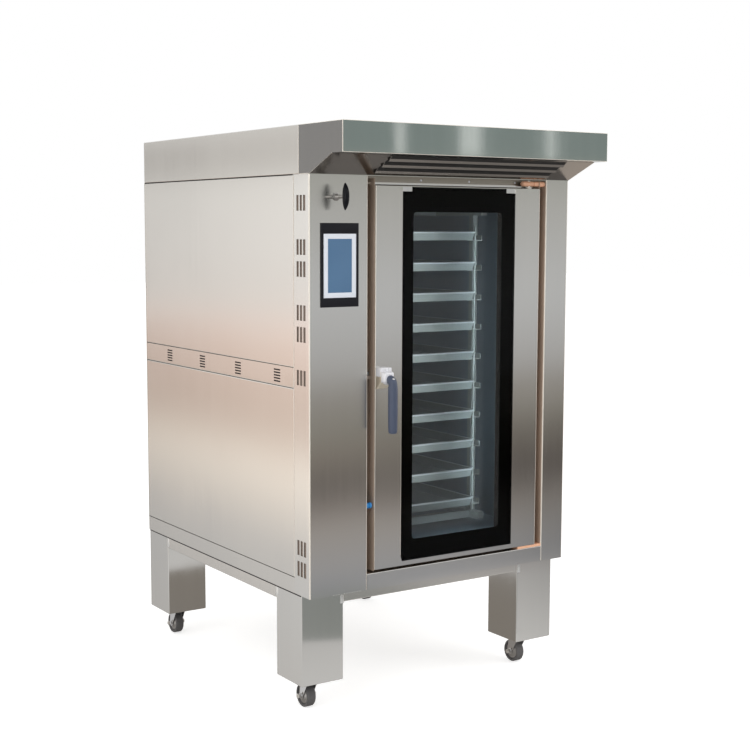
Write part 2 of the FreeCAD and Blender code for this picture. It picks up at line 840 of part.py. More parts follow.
# ---------------------------------------------------------------- baking chamber
def chamber_walls():
    ys = ("frame_back", "room_back")
    zs = ("room_floor", "room_top")
    left_wall = cut(box(("room_left - skin", "room_left"), ys, zs),
                    rod("x", "flue_branch_radius - skin", ("flue_y", "base + flue_branch_height"),
                        "room_left - skin", "room_left"),
                    rod("x", "water_pipe_radius + easy", ("(baffle_y + fan_front) / 2", "fan_z"),
                        "room_left - skin", "room_left"))
    right_wall = box(("room_right", "room_right + skin"), ys, zs)
    across = ("room_left - skin", "room_right + skin")
    ceiling = cut(box(across, ys, ("room_top", "room_top + skin")),
                  rod("z", "shaft_radius + 4", ("axis_x", "axis_y"), "room_top", "room_top + skin"))
    floor = box(across, ys, ("room_floor - skin", "room_floor"))
    rear = cut(box(across, ("room_back", "room_back + skin"), ("room_floor - skin", "room_top + skin")),
               rod("y", "fan_shaft_radius + 3", ("axis_x", "fan_z"), "room_back", "room_back + skin"))
    node(group(left_wall, right_wall, ceiling, floor, rear), "chamber_walls")


def fan_baffle():
    """Sheet in front of the fan: slotted round inlet, open at both sides for the hot air."""
    xs = ("room_left + baffle_side_gap", "room_right - baffle_side_gap")
    shell = box(xs, ("baffle_y", "baffle_y + side_flange"), ("room_floor", "room_top"))
    hollow = box((f"{xs[0]} + skin", f"{xs[1]} - skin"), ("baffle_y + skin", "baffle_y + side_flange"),
                 ("room_floor", "room_top"))
    disc = rod("y", "fan_inlet_radius", ("axis_x", "fan_z"), "baffle_y", "baffle_y + skin")
    bars = []
    for index in range(-4, 5):
        x = f"axis_x + {index} * (grille_slot + grille_bar)"
        bars.append(box((f"{x} - grille_slot / 2", f"{x} + grille_slot / 2"),
                        ("baffle_y", "baffle_y + skin"),
                        ("fan_z - fan_inlet_radius", "fan_z + fan_inlet_radius")))
    openings = doc.addObject("Part::Common", "Openings")
    openings.Base = disc
    openings.Tool = group(*bars)
    node(cut(cut(shell, hollow), openings), "fan_baffle")


def insulation_slabs():
    ys = ("frame_back", "room_back + skin + insulation")
    zs = ("room_floor", "room_top")
    left_slab = cut(box(("room_left - skin - insulation", "room_left - skin"),
                        ("flue_y + flue_radius + 10", "room_back + skin + insulation"), zs),
                    rod("x", "water_pipe_radius + easy", ("(baffle_y + fan_front) / 2", "fan_z"),
                        "room_left - skin - insulation", "room_left - skin"))
    right_slab = box(("room_right + skin", "room_right + skin + right_insulation"), ys, zs)
    across = ("room_left - skin", "room_right + skin")
    top_slab = cut(box(across, ys, ("room_top + skin", "room_top + skin + insulation")),
                   rod("z", "shaft_radius + 4", ("axis_x", "axis_y"), "room_top + skin",
                       "room_top + skin + insulation"))
    bottom_slab = box(across, ys, ("room_floor - skin - insulation", "room_floor - skin"))
    rear_slab = cut(box(across, ("room_back + skin", "room_back + skin + insulation"), zs),
                    rod("y", "fan_shaft_radius + 3", ("axis_x", "fan_z"), "room_back + skin",
                        "room_back + skin + insulation"))
    node(group(left_slab, right_slab, top_slab, bottom_slab, rear_slab), "insulation_slabs")


# ---------------------------------------------------------------- controls, flue and damper
def touch_screen():
    x, z = "left + screen_left", "base + screen_bottom"
    xs, zs = (x, f"{x} + screen_width"), (z, f"{z} + screen_height")
    bezel = box(xs, ("front - screen_proud", "front"), zs)
    case = box((f"{x} + display_side", f"{xs[1]} - display_side"), ("front", "front + screen_case_depth"),
               (f"{z} + display_side", f"{zs[1]} - display_side"))
    recess = box((f"{x} + display_side", f"{xs[1]} - display_side"),
                 ("front - screen_proud", "front - skin"),
                 (f"{z} + display_bottom", f"{zs[1]} - display_top"))
    node(cut(join(bezel, case), recess), "screen_bezel")
    panel = box((f"{x} + display_side", f"{xs[1]} - display_side"),
                ("front - screen_proud + 0.5", "front - skin"),
                (f"{z} + display_bottom", f"{zs[1]} - display_top"))
    node(panel, "screen_display")


def flue_pipe():
    """Upright pipe with a branch from the chamber and a slightly wider spigot on the roof."""
    centre = ("damper_place", "flue_y")
    low, high = "base + flue_bottom", "roof + flue_spigot"
    side = ("flue_y", "base + flue_branch_height")
    outer = join(rod("z", "flue_radius - flue_step", centre, low, high),
                 rod("z", "flue_radius", centre, "roof", high),
                 rod("x", "flue_branch_radius", side, "damper_place", "room_left - skin"))
    inner = join(rod("z", "flue_radius - flue_step - skin", centre, f"{low} + skin", high),
                 rod("x", "flue_branch_radius - skin", side, "damper_place", "room_left - skin"))
    bearing = rod("y", "damper_rod_radius + running", ("damper_place", "damper_z"),
                  "flue_y - flue_radius", "flue_y + flue_radius")
    node(cut(cut(outer, inner), bearing), "flue_pipe")


def damper_handle():
    """Bar knob on a flared stem with the rod that carries the flap."""
    grip_y = "front - damper_standoff"
    rod_part = rod("y", "damper_rod_radius", ("damper_place", "damper_z"),
                   f"{grip_y} + damper_head_radius / 2",
                   "flue_y + flue_radius + 6")
    stem = new_body(("damper_place", grip_y, "damper_z"))
    half = sketch_on(stem, "XY_Plane")
    draw(half, [("0", "0"), ("damper_stem_radius + 3", "0"), ("damper_stem_radius", "damper_standoff / 2"),
                ("damper_stem_radius", "damper_standoff + skin + 4"), ("0", "damper_standoff + skin + 4")])
    spin(stem, half, "V_Axis")
    head = new_body(("damper_place", grip_y, "damper_z"))
    lens = sketch_on(head, "XZ_Plane")
    tall, wide = "damper_head_height / 2", "damper_head_radius"
    draw(lens,
         [("0", f"-{tall}"), (f"{wide} * 0.45", f"-{tall} * 0.92"), (f"{wide} * 0.8", f"-{tall} * 0.6"),
                (wide, "0"), (f"{wide} * 0.8", f"{tall} * 0.6"), (f"{wide} * 0.45", f"{tall} * 0.92"),
                ("0", tall)])
    spin(head, lens, "V_Axis")
    node(join(rod_part, stem, head), "damper_handle")


def damper_flap():
    """Flap upright in the flue at rest, split by the rod it is clamped on."""
    disc = rod("x", "flue_radius - flue_step - skin - 1", ("flue_y", "damper_z"), "damper_place - skin / 2",
               "damper_place + skin / 2")
    slot = rod("y", "damper_rod_radius", ("damper_place", "damper_z"), "flue_y - flue_radius",
               "flue_y + flue_radius")
    node(cut(disc, slot), "damper_flap")


# ---------------------------------------------------------------- door
def door_frame():
    """Folded double-wall door with seats for both panes, and its hinge pins."""
    outer = box(("door_left", "door_right"), ("front", "door_back"), ("door_bottom", "door_top"))
    inner = box(("inner_left", "inner_right"), ("door_back", "inner_back"), ("inner_bottom", "inner_top"))
    hollow = box(("door_left + skin", "door_right - skin"), ("front + skin", "door_back - skin"),
                 ("door_bottom + skin", "door_top - skin"))
    inner_hollow = box(("inner_left + skin", "inner_right - skin"),
                       ("door_back - skin", "inner_back - skin"),
                       ("inner_bottom + skin", "inner_top - skin"))
    shell = cut(join(outer, inner), join(hollow, inner_hollow))
    glass_seat = box(("glass_left - skin", "glass_right + skin"), ("front", "seat_front + skin"),
                     ("glass_bottom - skin", "door_top"))
    pane_x = ("window_left - inner_glass_margin", "window_right + inner_glass_margin")
    pane_z = ("window_bottom - inner_glass_margin", "window_top + inner_glass_margin")
    inner_seat = box((f"{pane_x[0]} - skin", f"{pane_x[1]} + skin"),
                     ("inner_back - inner_glass_thick - skin", "inner_back"),
                     (f"{pane_z[0]} - skin", f"{pane_z[1]} + skin"))
    glass = box(("glass_left", "glass_right"), ("front", "seat_front"), ("glass_bottom", "glass_top"))
    pane = box(pane_x, ("inner_back - inner_glass_thick", "inner_back"), pane_z)
    view = box(("window_left - view_margin", "window_right + view_margin"), ("front", "inner_back"),
               ("window_bottom - view_margin", "window_top + view_margin"))
    spindle = rod("y", "spindle_radius + running", ("handle_x", "handle_z"), "front", "door_back")
    body = cut(join(shell, glass_seat, inner_seat), join(glass, pane, view, spindle))
    pins = [rod("z", "hinge_pin_radius", ("pin_x", "pin_y"), "door_top", "hinge_z + hinge_bar_radius + 2"),
            rod("z", "hinge_collar_radius", ("pin_x", "pin_y"), "door_top",
                "hinge_z - hinge_bar_radius - easy"),
            rod("z", "hinge_pin_radius", ("pin_x", "pin_y"), "base + sill_height + easy", "door_bottom"),
            rod("z", "hinge_collar_radius", ("pin_x", "pin_y"),
                "base + sill_height + hinge_plate_thick + easy",
                "door_bottom")]
    node(join(body, *pins), "door_frame")


def door_glass():
    outer = box(("glass_left", "glass_right"), ("glass_front", "glass_back"), ("glass_bottom", "glass_top"))
    node(outer, "outer_glass")
    band = box(("glass_left", "glass_right"), ("glass_back", "seat_front"), ("glass_bottom", "glass_top"))
    corner = "window_corner"
    tall = box(("window_left + " + corner, "window_right - " + corner), ("glass_back", "seat_front"),
               ("window_bottom", "window_top"))
    wide = box(("window_left", "window_right"), ("glass_back", "seat_front"),
               ("window_bottom + " + corner, "window_top - " + corner))
    rounds = [rod("y", corner, (x, z), "glass_back", "seat_front")
              for x in ("window_left + " + corner, "window_right - " + corner)
              for z in ("window_bottom + " + corner, "window_top - " + corner)]
    node(cut(band, join(tall, wide, *rounds)), "glass_border")
    pane = box(("window_left - inner_glass_margin", "window_right + inner_glass_margin"),
               ("inner_back - inner_glass_thick", "inner_back"),
               ("window_bottom - inner_glass_margin", "window_top + inner_glass_margin"))
    node(pane, "inner_glass")


def door_gasket():
    edge, width = "gasket_edge", "gasket_edge + gasket_width"
    ys = ("inner_back", "inner_back + gasket_height")
    outer = box((f"inner_left + {edge}", f"inner_right - {edge}"), ys,
                (f"inner_bottom + {edge}", f"inner_top - {edge}"))
    inner = box((f"inner_left + {width}", f"inner_right - ({width})"), ys,
                (f"inner_bottom + {width}", f"inner_top - ({width})"))
    node(cut(outer, inner), "door_gasket")


def glass_clips():
    zs = ("glass_top - clip_height", "glass_top")
    ys = ("glass_front - skin", "glass_front")
    node(group(box(("glass_left", "glass_left + clip_length"), ys, zs),
               box(("glass_right - clip_length", "glass_right"), ys, zs)), "glass_clips")


def hinge_brackets():
    """Turned bar over the door, fixed to the right post, and the foot plate on the sill."""
    bar = new_body(("bay_right", "pin_y", "hinge_z"))
    half = sketch_on(bar, "XY_Plane")
    end = "pin_x - hinge_bar_end - bay_right"
    groove = "pin_x + hinge_inset / 2 - bay_right"
    draw(half, [("0", "0"), ("0", "hinge_bar_radius"), (groove, "hinge_bar_radius"),
                (groove, "hinge_groove_radius"),
                (f"{groove} - hinge_groove_width", "hinge_groove_radius"),
                (f"{groove} - hinge_groove_width", "hinge_bar_radius"), (f"{end} + 3", "hinge_bar_radius"),
                (end, "hinge_bar_radius - 3"), (end, "0")])
    spin(bar, half, "H_Axis")
    bore = rod("z", "hinge_pin_radius + running", ("pin_x", "pin_y"), "hinge_z - hinge_bar_radius",
               "hinge_z + hinge_bar_radius")
    plate = box(("pin_x - hinge_plate_width", "bay_right"), ("front + 1", "pin_y + hinge_plate_width / 2"),
                ("base + sill_height", "base + sill_height + hinge_plate_thick"))
    foot = rod("z", "hinge_pin_radius + running", ("pin_x", "pin_y"), "base + sill_height",
               "base + sill_height + hinge_plate_thick")
    node(group(cut(bar, bore), cut(plate, foot)), "hinge_brackets")


def handle_base():
    """Escutcheon bracket on the left stile with the lever's bearing."""
    x, z, half = "handle_x", "handle_z", "base_block_width / 2"
    body = new_body((x, "front", z))
    side = sketch_on(body, "YZ_Plane")
    draw(side, [("0", "base_block_height / 2"), ("-base_block_depth", "base_block_height / 3"),
                ("-base_block_depth", "-spindle_radius - 4"), ("-4", "-base_block_height / 2"),
                ("0", "-base_block_height / 2")])
    pad(body, side, "base_block_width", both=True)
    bore = rod("y", "spindle_radius + running", (x, z), "front - base_block_depth", "front")
    node(cut(body, bore), "handle_base")


def handle_lever():
    """Spindle, bent tang inside the grip and the latch cam behind the door's front wall."""
    x, z = "handle_x", "handle_z"
    grip_y = "front - handle_standoff"
    spindle = rod("y", "spindle_radius", (x, z), grip_y, "door_back + easy + cam_thick")
    elbow = ball("spindle_radius", (x, grip_y, z))
    tang = rod("z", "spindle_radius", (x, grip_y), f"{z} - grip_length + grip_end_wall", z)
    collar = rod("y", "spindle_radius + 4", (x, z), "front - base_block_depth - 8",
                 "front - base_block_depth - easy")
    cam = box((f"{x} - cam_reach", x), ("door_back + easy", "door_back + easy + cam_thick"),
              (f"{z} - cam_width / 2", f"{z} + cam_width / 2"))
    node(join(spindle, elbow, tang, collar, cam), "handle_lever")


def handle_grip():
    """Moulded sleeve round the lever's bend and tang, rounded at the foot."""
    x, grip_y, top = "handle_x", "front - handle_standoff", "handle_z"
    low = "handle_z - grip_length"
    body = new_body((x, grip_y, low))
    half = sketch_on(body, "XZ_Plane")
    draw(half, [("0", "0"), ("grip_radius - 4", "0"), ("grip_radius - 1", "2"), ("grip_radius", "6"),
                ("grip_radius - 1", "grip_length * 0.6"), ("grip_radius", "grip_length - grip_radius"),
                ("grip_radius", "grip_length"), ("0", "grip_length")])
    spin(body, half, "V_Axis")
    bend = ball("grip_radius", (x, grip_y, top))
    sleeve_end = f"{grip_y} + grip_sleeve_length"
    sleeve = rod("y", "grip_radius - 1.5", (x, top), grip_y, sleeve_end)
    tang_bore = rod("z", "spindle_radius", (x, grip_y), f"{low} + grip_end_wall", top)
    bend_bore = ball("spindle_radius", (x, grip_y, top))
    sleeve_bore = rod("y", "spindle_radius", (x, top), grip_y, sleeve_end)
    node(cut(join(body, bend, sleeve), tang_bore, bend_bore, sleeve_bore), "handle_grip")


def latch_keeper():
    """Angle on the jamb: its prong lies over the cam and is open to the front."""
    zs = ("handle_z - keeper_height / 2", "handle_z + keeper_height / 2")
    ys = ("door_back - 2", "frame_front - easy")
    plate = box(("bay_left", "bay_left + keeper_base"), ys, zs)
    prong_low = "handle_z + cam_width / 2 + 4"
    prong = box(("bay_left + keeper_base", "bay_left + keeper_reach"), ys,
                (prong_low, f"{prong_low} + keeper_thick"))
    node(join(plate, prong), "latch_keeper")


def hose_fitting():
    """Push-in fitting on the left jamb beside the door."""
    x, y, z = "bay_left", "(door_back + frame_front) / 2", "base + fitting_height"
    body = new_body((x, y, z))
    half = sketch_on(body, "XY_Plane")
    draw(half, [("0", "0"), ("0", "fitting_radius"), ("fitting_length * 0.45", "fitting_radius"),
                ("fitting_length * 0.45", "fitting_radius - 2.5"),
                ("fitting_length * 0.7", "fitting_radius - 2.5"),
                ("fitting_length * 0.7", "fitting_radius - 1"), ("fitting_length", "fitting_radius - 1"),
                ("fitting_length", "fitting_radius - 5"), ("fitting_length * 0.5", "fitting_radius - 5"),
                ("fitting_length * 0.5", "0")])
    spin(body, half, "H_Axis")
    node(body, "hose_fitting")


def panel_screws():
    """Pan heads along the recessed header face."""
    heads = []
    for share in (0, 1, 2, 3):
        x = f"bay_left + 32 + {share} * (bay_right - bay_left - 137) / 3"
        heads.append(rod("y", "screw_radius", (x, "roof - header_drop / 2 + 3"),
                         "front + header_recess - screw_head", "front + header_recess"))
    node(group(*heads), "panel_screws")


# ---------------------------------------------------------------- rotating rack
def rack_base():
    """Cross-braced foot frame with the hub that turns on the floor pin."""
    x, y, bar = "axis_x", "axis_y", "rack_bar"
    zs = ("rack_low", f"rack_low + {bar}")
    reach_x, reach_y = "rack_half_width", "upright_spread"
    members = []
    for side in (-1, 1):
        low = f"{x} + {side} * ({reach_x} - {bar} / 2)"
        members.append(box((f"{low} - {bar} / 2", f"{low} + {bar} / 2"),
                           (f"{y} - runner_half_length", f"{y} + runner_half_length"), zs))
    members.append(box((f"{x} - {reach_x}", f"{x} + {reach_x}"), (f"{y} - {bar} / 2", f"{y} + {bar} / 2"),
                       zs))
    for end in (-1, 1):
        low = f"{y} + {end} * {reach_y}"
        members.append(box((f"{x} - {reach_x}", f"{x} + {reach_x}"),
                           (f"{low} - {bar} / 2", f"{low} + {bar} / 2"), zs))
    hub = rod("z", "hub_radius", (x, y), "room_floor + floor_plate_thick + easy", f"rack_low + {bar}")
    bore = rod("z", "floor_pin_radius + running", (x, y), "room_floor", f"rack_low + {bar} / 2")
    node(cut(join(*members, hub), bore), "rack_base")


def rack_uprights():
    """Four square posts and four round guides at the tray corners."""
    size = "upright_size"
    zs = ("rack_low + rack_bar", "rack_high")
    parts = []
    for side in (-1, 1):
        outer = f"axis_x + {side} * (rack_half_width - {size} / 2)"
        guide = f"axis_x + {side} * (tray_width / 2 + guide_clearance + guide_radius)"
        for end in (-1, 1):
            y = f"axis_y + {end} * upright_spread"
            parts.append(box((f"{outer} - {size} / 2", f"{outer} + {size} / 2"),
                             (f"{y} - {size} / 2", f"{y} + {size} / 2"), zs))
            tip = f"axis_y + {end} * (runner_half_length + guide_radius)"
            parts.append(rod("z", "guide_radius", (guide, tip), "base + first_rim - tray_depth - guide_end",
                             f"base + first_rim + {TRAY_COUNT - 1} * tray_step_height + guide_end"))
    node(group(*parts), "rack_uprights")


def tray_runners():
    """Angle runners in ten pairs, each fixed to the inner faces of two posts."""
    runners = []
    floor_z = "base + first_rim - tray_depth"
    for level in range(TRAY_COUNT):
        top = f"{floor_z} + {level} * tray_step_height"
        for side in (-1, 1):
            wall = f"axis_x + {side} * (rack_half_width - upright_size)"
            inner = f"{wall} - {side} * runner_width"
            edge = f"{wall} - {side} * runner_thick"
            ys = ("axis_y - runner_half_length", "axis_y + runner_half_length")
            flat = (inner, wall) if side > 0 else (wall, inner)
            web = (edge, wall) if side > 0 else (wall, edge)
            runners.append(join(box(flat, ys, (f"{top} - runner_thick", top)),
                                box(web, ys, (top, f"{top} + runner_wall"))))
    node(group(*runners), "tray_runners")


def rack_head():
    """Top frame, hub and the drive shaft that hangs in the gearbox."""
    x, y, bar = "axis_x", "axis_y", "rack_bar"
    zs = ("rack_high", f"rack_high + {bar}")
    members = []
    for side in (-1, 1):
        low = f"{x} + {side} * (rack_half_width - {bar} / 2)"
        members.append(box((f"{low} - {bar} / 2", f"{low} + {bar} / 2"),
                           (f"{y} - runner_half_length", f"{y} + runner_half_length"), zs))
    members.append(box((f"{x} - rack_half_width", f"{x} + rack_half_width"),
                       (f"{y} - {bar}", f"{y} + {bar}"), zs))
    hub = rod("z", "hub_radius", (x, y), f"rack_high + {bar}", "room_top - hub_gap")
    shaft = rod("z", "shaft_radius", (x, y), "room_top - hub_gap", "roof + gearbox_foot + shaft_reach")
    node(join(*members, hub, shaft), "rack_head")


def baking_trays():
    """Flared pans with a rim, one on each pair of runners."""
    body = new_body(("axis_x", "axis_y", "base + first_rim - tray_depth"))

    def rectangle(sketch, inset):
        x, y = f"(tray_width / 2 - ({inset}))", f"(tray_length / 2 - ({inset}))"
        draw(sketch, [(f"-{x}", f"-{y}"), (x, f"-{y}"), (x, y), (f"-{x}", y)])

    slope = ref("atan((tray_flare - tray_rim) / tray_depth)")
    foot = sketch_on(body, "XY_Plane")
    rectangle(foot, "tray_flare")
    block = pad(body, foot, "tray_depth")
    block.setExpression("TaperAngle", slope)
    mouth = sketch_on(body, "XY_Plane", "tray_depth")
    rectangle(mouth, "tray_rim + tray_wall")
    hollow = pocket(body, mouth, "tray_depth - tray_wall")
    hollow.setExpression("TaperAngle", "-(" + slope + ")")
    brim = sketch_on(body, "XY_Plane", "tray_depth - tray_wall")
    rectangle(brim, "0")
    rectangle(brim, "tray_rim + tray_wall")
    edge = pad(body, brim, "tray_wall")
    repeat(body, [block, hollow, edge], foot, "N_Axis", "tray_step_height", TRAY_COUNT)
    node(body, "baking_trays")


def rack_floor_bearing():
    x, y = "axis_x", "axis_y"
    node(join(rod("z", "floor_plate_radius", (x, y), "room_floor", "room_floor + floor_plate_thick"),
              rod("z", "floor_pin_radius", (x, y), "room_floor", "rack_low + rack_bar / 2 - easy")),
         "rack_floor_bearing")


# ---------------------------------------------------------------- drives, heat and services
def rack_gearmotor():
    """Gearbox over the rack's shaft with its motor lying to the rear."""
    x, y, half = "axis_x", "axis_y", "gearbox_size / 2"
    low = "roof + gearbox_foot"
    foot = box((f"{x} - {half} - gearbox_foot", f"{x} + {half} + gearbox_foot"),
               (f"{y} - {half} - gearbox_foot", f"{y} + {half} + gearbox_foot"), ("roof", low))
    case = box((f"{x} - {half}", f"{x} + {half}"), (f"{y} - {half}", f"{y} + {half}"),
               (low, f"{low} + gearbox_height"))
    motor = rod("y", "gearmotor_radius", (x, f"{low} + gearbox_height / 2 + 1"), y,
                f"{y} + {half} + gearmotor_length")
    bore = rod("z", "shaft_radius + running", (x, y), "roof", f"{low} + shaft_reach + easy")
    node(cut(join(foot, case, motor), bore), "rack_gearmotor")


def fan_wheel():
    """Radial wheel: back plate, front ring, bent blades, hub and motor shaft."""
    body = new_body(("axis_x", "0", "fan_z"))
    plate = sketch_on(body, "XZ_Plane", "-(fan_back - fan_plate)")
    draw_circle(plate, ("0", "0"), "fan_radius")
    pad(body, plate, "fan_plate", backwards=True)
    hub = sketch_on(body, "XZ_Plane", "-(fan_back - fan_plate)")
    draw_circle(hub, ("0", "0"), "fan_hub_radius")
    pad(body, hub, "fan_depth / 2")
    blade = sketch_on(body, "XZ_Plane", "-(fan_back - fan_plate)")
    draw(blade, [("fan_radius * 0.62", "0"), ("fan_radius * 0.8", "fan_radius * 0.08"),
                 ("fan_radius * 0.95", "fan_radius * 0.24"),
                 ("fan_radius * 0.95", "fan_radius * 0.24 + 2 * fan_plate"),
                 ("fan_radius * 0.78", "fan_radius * 0.08 + 2 * fan_plate"),
                 ("fan_radius * 0.61", "2 * fan_plate")])
    vane = pad(body, blade, "fan_depth - 2 * fan_plate")
    around(body, [vane], plate, BLADE_COUNT)
    ring = sketch_on(body, "XZ_Plane", "-fan_front")
    draw_circle(ring, ("0", "0"), "fan_radius")
    draw_circle(ring, ("0", "0"), "fan_inlet_radius")
    pad(body, ring, "fan_plate", backwards=True)
    shaft = sketch_on(body, "XZ_Plane", "-(fan_back - fan_plate)")
    draw_circle(shaft, ("0", "0"), "fan_shaft_radius")
    pad(body, shaft, "fan_plate + fan_rear_gap + skin + insulation + fan_motor_length / 2", backwards=True)
    node(body, "fan_wheel")


def fan_motor():
    x, z = "axis_x", "fan_z"
    start = "room_back + skin + insulation"
    flange = rod("y", "fan_motor_radius + 10", (x, z), start, f"{start} + 6")
    case = rod("y", "fan_motor_radius", (x, z), start, f"{start} + fan_motor_length")
    bore = rod("y", "fan_shaft_radius + running", (x, z), start, f"{start} + fan_motor_length / 2 + easy")
    node(cut(join(flange, case), bore), "fan_motor")


def heater_coils():
    """Three ring elements round the fan, each ending in two terminals through the rear wall."""
    rings = []
    for index in range(3):
        radius = f"coil_inner + {2 - index} * coil_step"
        y = f"fan_front + {index} * coil_pitch"
        body = new_body(("axis_x", y, "fan_z"), ((0, 1, 0), -90 * index))
        wire = sketch_on(body, "XY_Plane")
        draw_circle(wire, (radius, "0"), "coil_radius")
        ring = spin(body, wire, "V_Axis")
        ring.Angle = 350
        for angle in (0, 350):
            tail = sketch_on(body, "XZ_Plane")
            turn = math.radians(angle)
            draw_circle(tail, (f"({radius}) * {math.cos(turn):.6f}", f"-({radius}) * {math.sin(turn):.6f}"),
                        "coil_radius")
            pad(body, tail, f"room_back - ({y})", backwards=True)
        rings.append(body)
    node(group(*rings), "heater_coils")


def water_line():
    """Inlet valve at the rear and the pipe to the fan's eye."""
    x, z, radius = "left + water_x", "base + water_height", "water_pipe_radius"
    y = "back - skin - valve_size / 2"
    front_y, end_x = "(baffle_y + fan_front) / 2", "axis_x - fan_inlet_radius / 2"
    half = "valve_size / 2"
    valve = box((f"{x} - {half}", f"{x} + {half}"), ("back - skin - valve_size", "back - skin"),
                (f"{z} - {half}", f"{z} + {half}"))
    spigot = rod("y", "inlet_radius", (x, z), "back - skin", "back")
    bore = rod("y", "inlet_bore", (x, z), "back - skin - valve_size / 2", "back")
    pipes = [rod("z", radius, (x, y), z, "fan_z"), rod("y", radius, (x, "fan_z"), front_y, y),
             rod("x", radius, (front_y, "fan_z"), x, end_x)]
    pipes += [ball(radius, corner) for corner in ((x, y, "fan_z"), (x, front_y, "fan_z"))]
    node(cut(join(valve, spigot, *pipes), bore), "water_line")


def cable_gland():
    x, z = "left + gland_x", "base + gland_height"
    barrel = rod("y", "gland_radius", (x, z), "back - gland_length", "back")
    nut = rod("y", "gland_radius + 5", (x, z), "back - skin - 6", "back - skin")
    bore = rod("y", "gland_bore", (x, z), "back - gland_length", "back")
    node(cut(join(barrel, nut), bore), "cable_gland")


def control_box():
    outer = "room_left - skin - insulation"
    y, z = "front + control_box_setback", "base + control_box_low"
    node(box((f"{outer} - control_box_depth", outer), (y, f"{y} + control_box_length"),
             (z, f"{z} + control_box_height")), "control_box")


BUILDERS = (
    stand_legs, stand_rails, caster_plates, base_tray, control_column, right_column, front_sill,
    header_rail, front_frame, side_panels, back_panel, roof_panel, roof_band, hood_canopy,
    hood_louver_panel, chamber_walls, fan_baffle, insulation_slabs, touch_screen, flue_pipe,
    damper_handle, damper_flap, door_frame, door_glass, door_gasket, glass_clips, hinge_brackets,
    handle_base, handle_lever, handle_grip, latch_keeper, hose_fitting, panel_screws, rack_base,
    rack_uprights, tray_runners, rack_head, baking_trays, rack_floor_bearing, rack_gearmotor,
    fan_wheel, fan_motor, heater_coils, water_line, cable_gland, control_box,
)
for builder in BUILDERS:
    builder()
for name, (side, end) in CORNERS.items():
    caster_fork(name, side, end)
    caster_wheel(name, side, end)
doc.recompute()

for item in doc.Objects:
    if "Invalid" in item.State or "Error" in item.State:
        raise RuntimeError(f"{item.Label} was not built: {item.State}")
    shape = getattr(item, "Shape", None)
    if shape is None or item.isDerivedFrom("App::OriginFeature"):
        continue
    if shape.isNull() or not shape.isValid():
        raise RuntimeError(f"{item.Label} has no valid shape")

os.makedirs("parts", exist_ok=True)
for item in NODES:
    if not item.Shape.Solids:
        raise RuntimeError(f"{item.Label} has no solid")
    item.Shape.exportStep(f"parts/{item.Label}.step")
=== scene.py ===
"""Looks of the rotating rack oven: camera, studio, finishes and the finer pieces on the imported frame."""
import math

import bpy
from mathutils import Matrix, Vector


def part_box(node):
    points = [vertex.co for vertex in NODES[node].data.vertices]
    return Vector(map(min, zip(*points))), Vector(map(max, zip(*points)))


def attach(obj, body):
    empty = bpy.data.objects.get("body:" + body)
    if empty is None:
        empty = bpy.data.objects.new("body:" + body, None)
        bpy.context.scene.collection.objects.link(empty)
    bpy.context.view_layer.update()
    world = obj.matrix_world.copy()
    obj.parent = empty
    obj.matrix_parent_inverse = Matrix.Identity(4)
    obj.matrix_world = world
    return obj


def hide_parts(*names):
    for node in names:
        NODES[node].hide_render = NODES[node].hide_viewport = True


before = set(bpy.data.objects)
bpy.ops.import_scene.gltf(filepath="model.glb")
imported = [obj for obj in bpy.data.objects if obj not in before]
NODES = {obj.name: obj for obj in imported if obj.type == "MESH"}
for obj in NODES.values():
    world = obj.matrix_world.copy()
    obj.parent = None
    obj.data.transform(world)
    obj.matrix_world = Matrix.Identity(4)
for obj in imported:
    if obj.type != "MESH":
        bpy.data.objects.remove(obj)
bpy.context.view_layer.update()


# ---------------- small helpers
def srgb(red, green, blue):
    """A screen colour from 0 to 255 as the linear colour a shader takes."""
    shares = [c / 255 for c in (red, green, blue)]
    return (*(c / 12.92 if c <= 0.04 else ((c + 0.055) / 1.055) ** 2.4 for c in shares), 1.0)


def set_mode(mode):
    bpy.ops.object.mode_set(mode=mode)


def deselect():
    if bpy.context.object and bpy.context.object.mode != "OBJECT":
        set_mode("OBJECT")
    bpy.ops.object.select_all(action="DESELECT")


def active():
    return bpy.context.view_layer.objects.active


def pick(piece):
    """Make one piece the only selected and active one."""
    deselect()
    piece.select_set(True)
    bpy.context.view_layer.objects.active = piece


def apply_place():
    """Put the selected piece's place, turn and size into its mesh."""
    bpy.ops.object.transform_apply(location=True, rotation=True, scale=True)


def select_whole():
    bpy.ops.mesh.select_all(action="SELECT")


def edit_pick(piece, kind, test):
    """Enter edit mode with those vertices, edges or faces selected that pass the test."""
    pick(piece)
    set_mode("EDIT")
    bpy.ops.mesh.select_mode(type=kind)
    bpy.ops.mesh.select_all(action="DESELECT")
    set_mode("OBJECT")
    mesh = piece.data
    for element in {"VERT": mesh.vertices, "EDGE": mesh.edges, "FACE": mesh.polygons}[kind]:
        element.select = bool(test(element))
    set_mode("EDIT")


def apply_modifier(piece, kind, **settings):
    """Add a modifier, set it up and apply it."""
    pick(piece)
    modifier = piece.modifiers.new(kind.lower(), kind)
    for label, setting in settings.items():
        setattr(modifier, label, setting)
    bpy.ops.object.modifier_apply(modifier=modifier.name)


def round_edges(piece, width, segments=2, angle=40):
    apply_modifier(piece, "BEVEL", width=width, segments=segments, limit_method="ANGLE",
                   angle_limit=math.radians(angle))


def settle(piece, name, body, material, smooth=35):
    """Put the place into the mesh, then name, finish and hang the piece on its body."""
    pick(piece)
    apply_place()
    set_mode("EDIT")
    select_whole()
    bpy.ops.mesh.remove_doubles(threshold=1e-6)
    bpy.ops.mesh.normals_make_consistent(inside=False)
    set_mode("OBJECT")
    bpy.ops.object.shade_smooth_by_angle(angle=math.radians(smooth))
    piece.name = name
    piece.data.name = name
    piece.data.materials.clear()
    piece.data.materials.append(material)
    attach(piece, body)
    deselect()


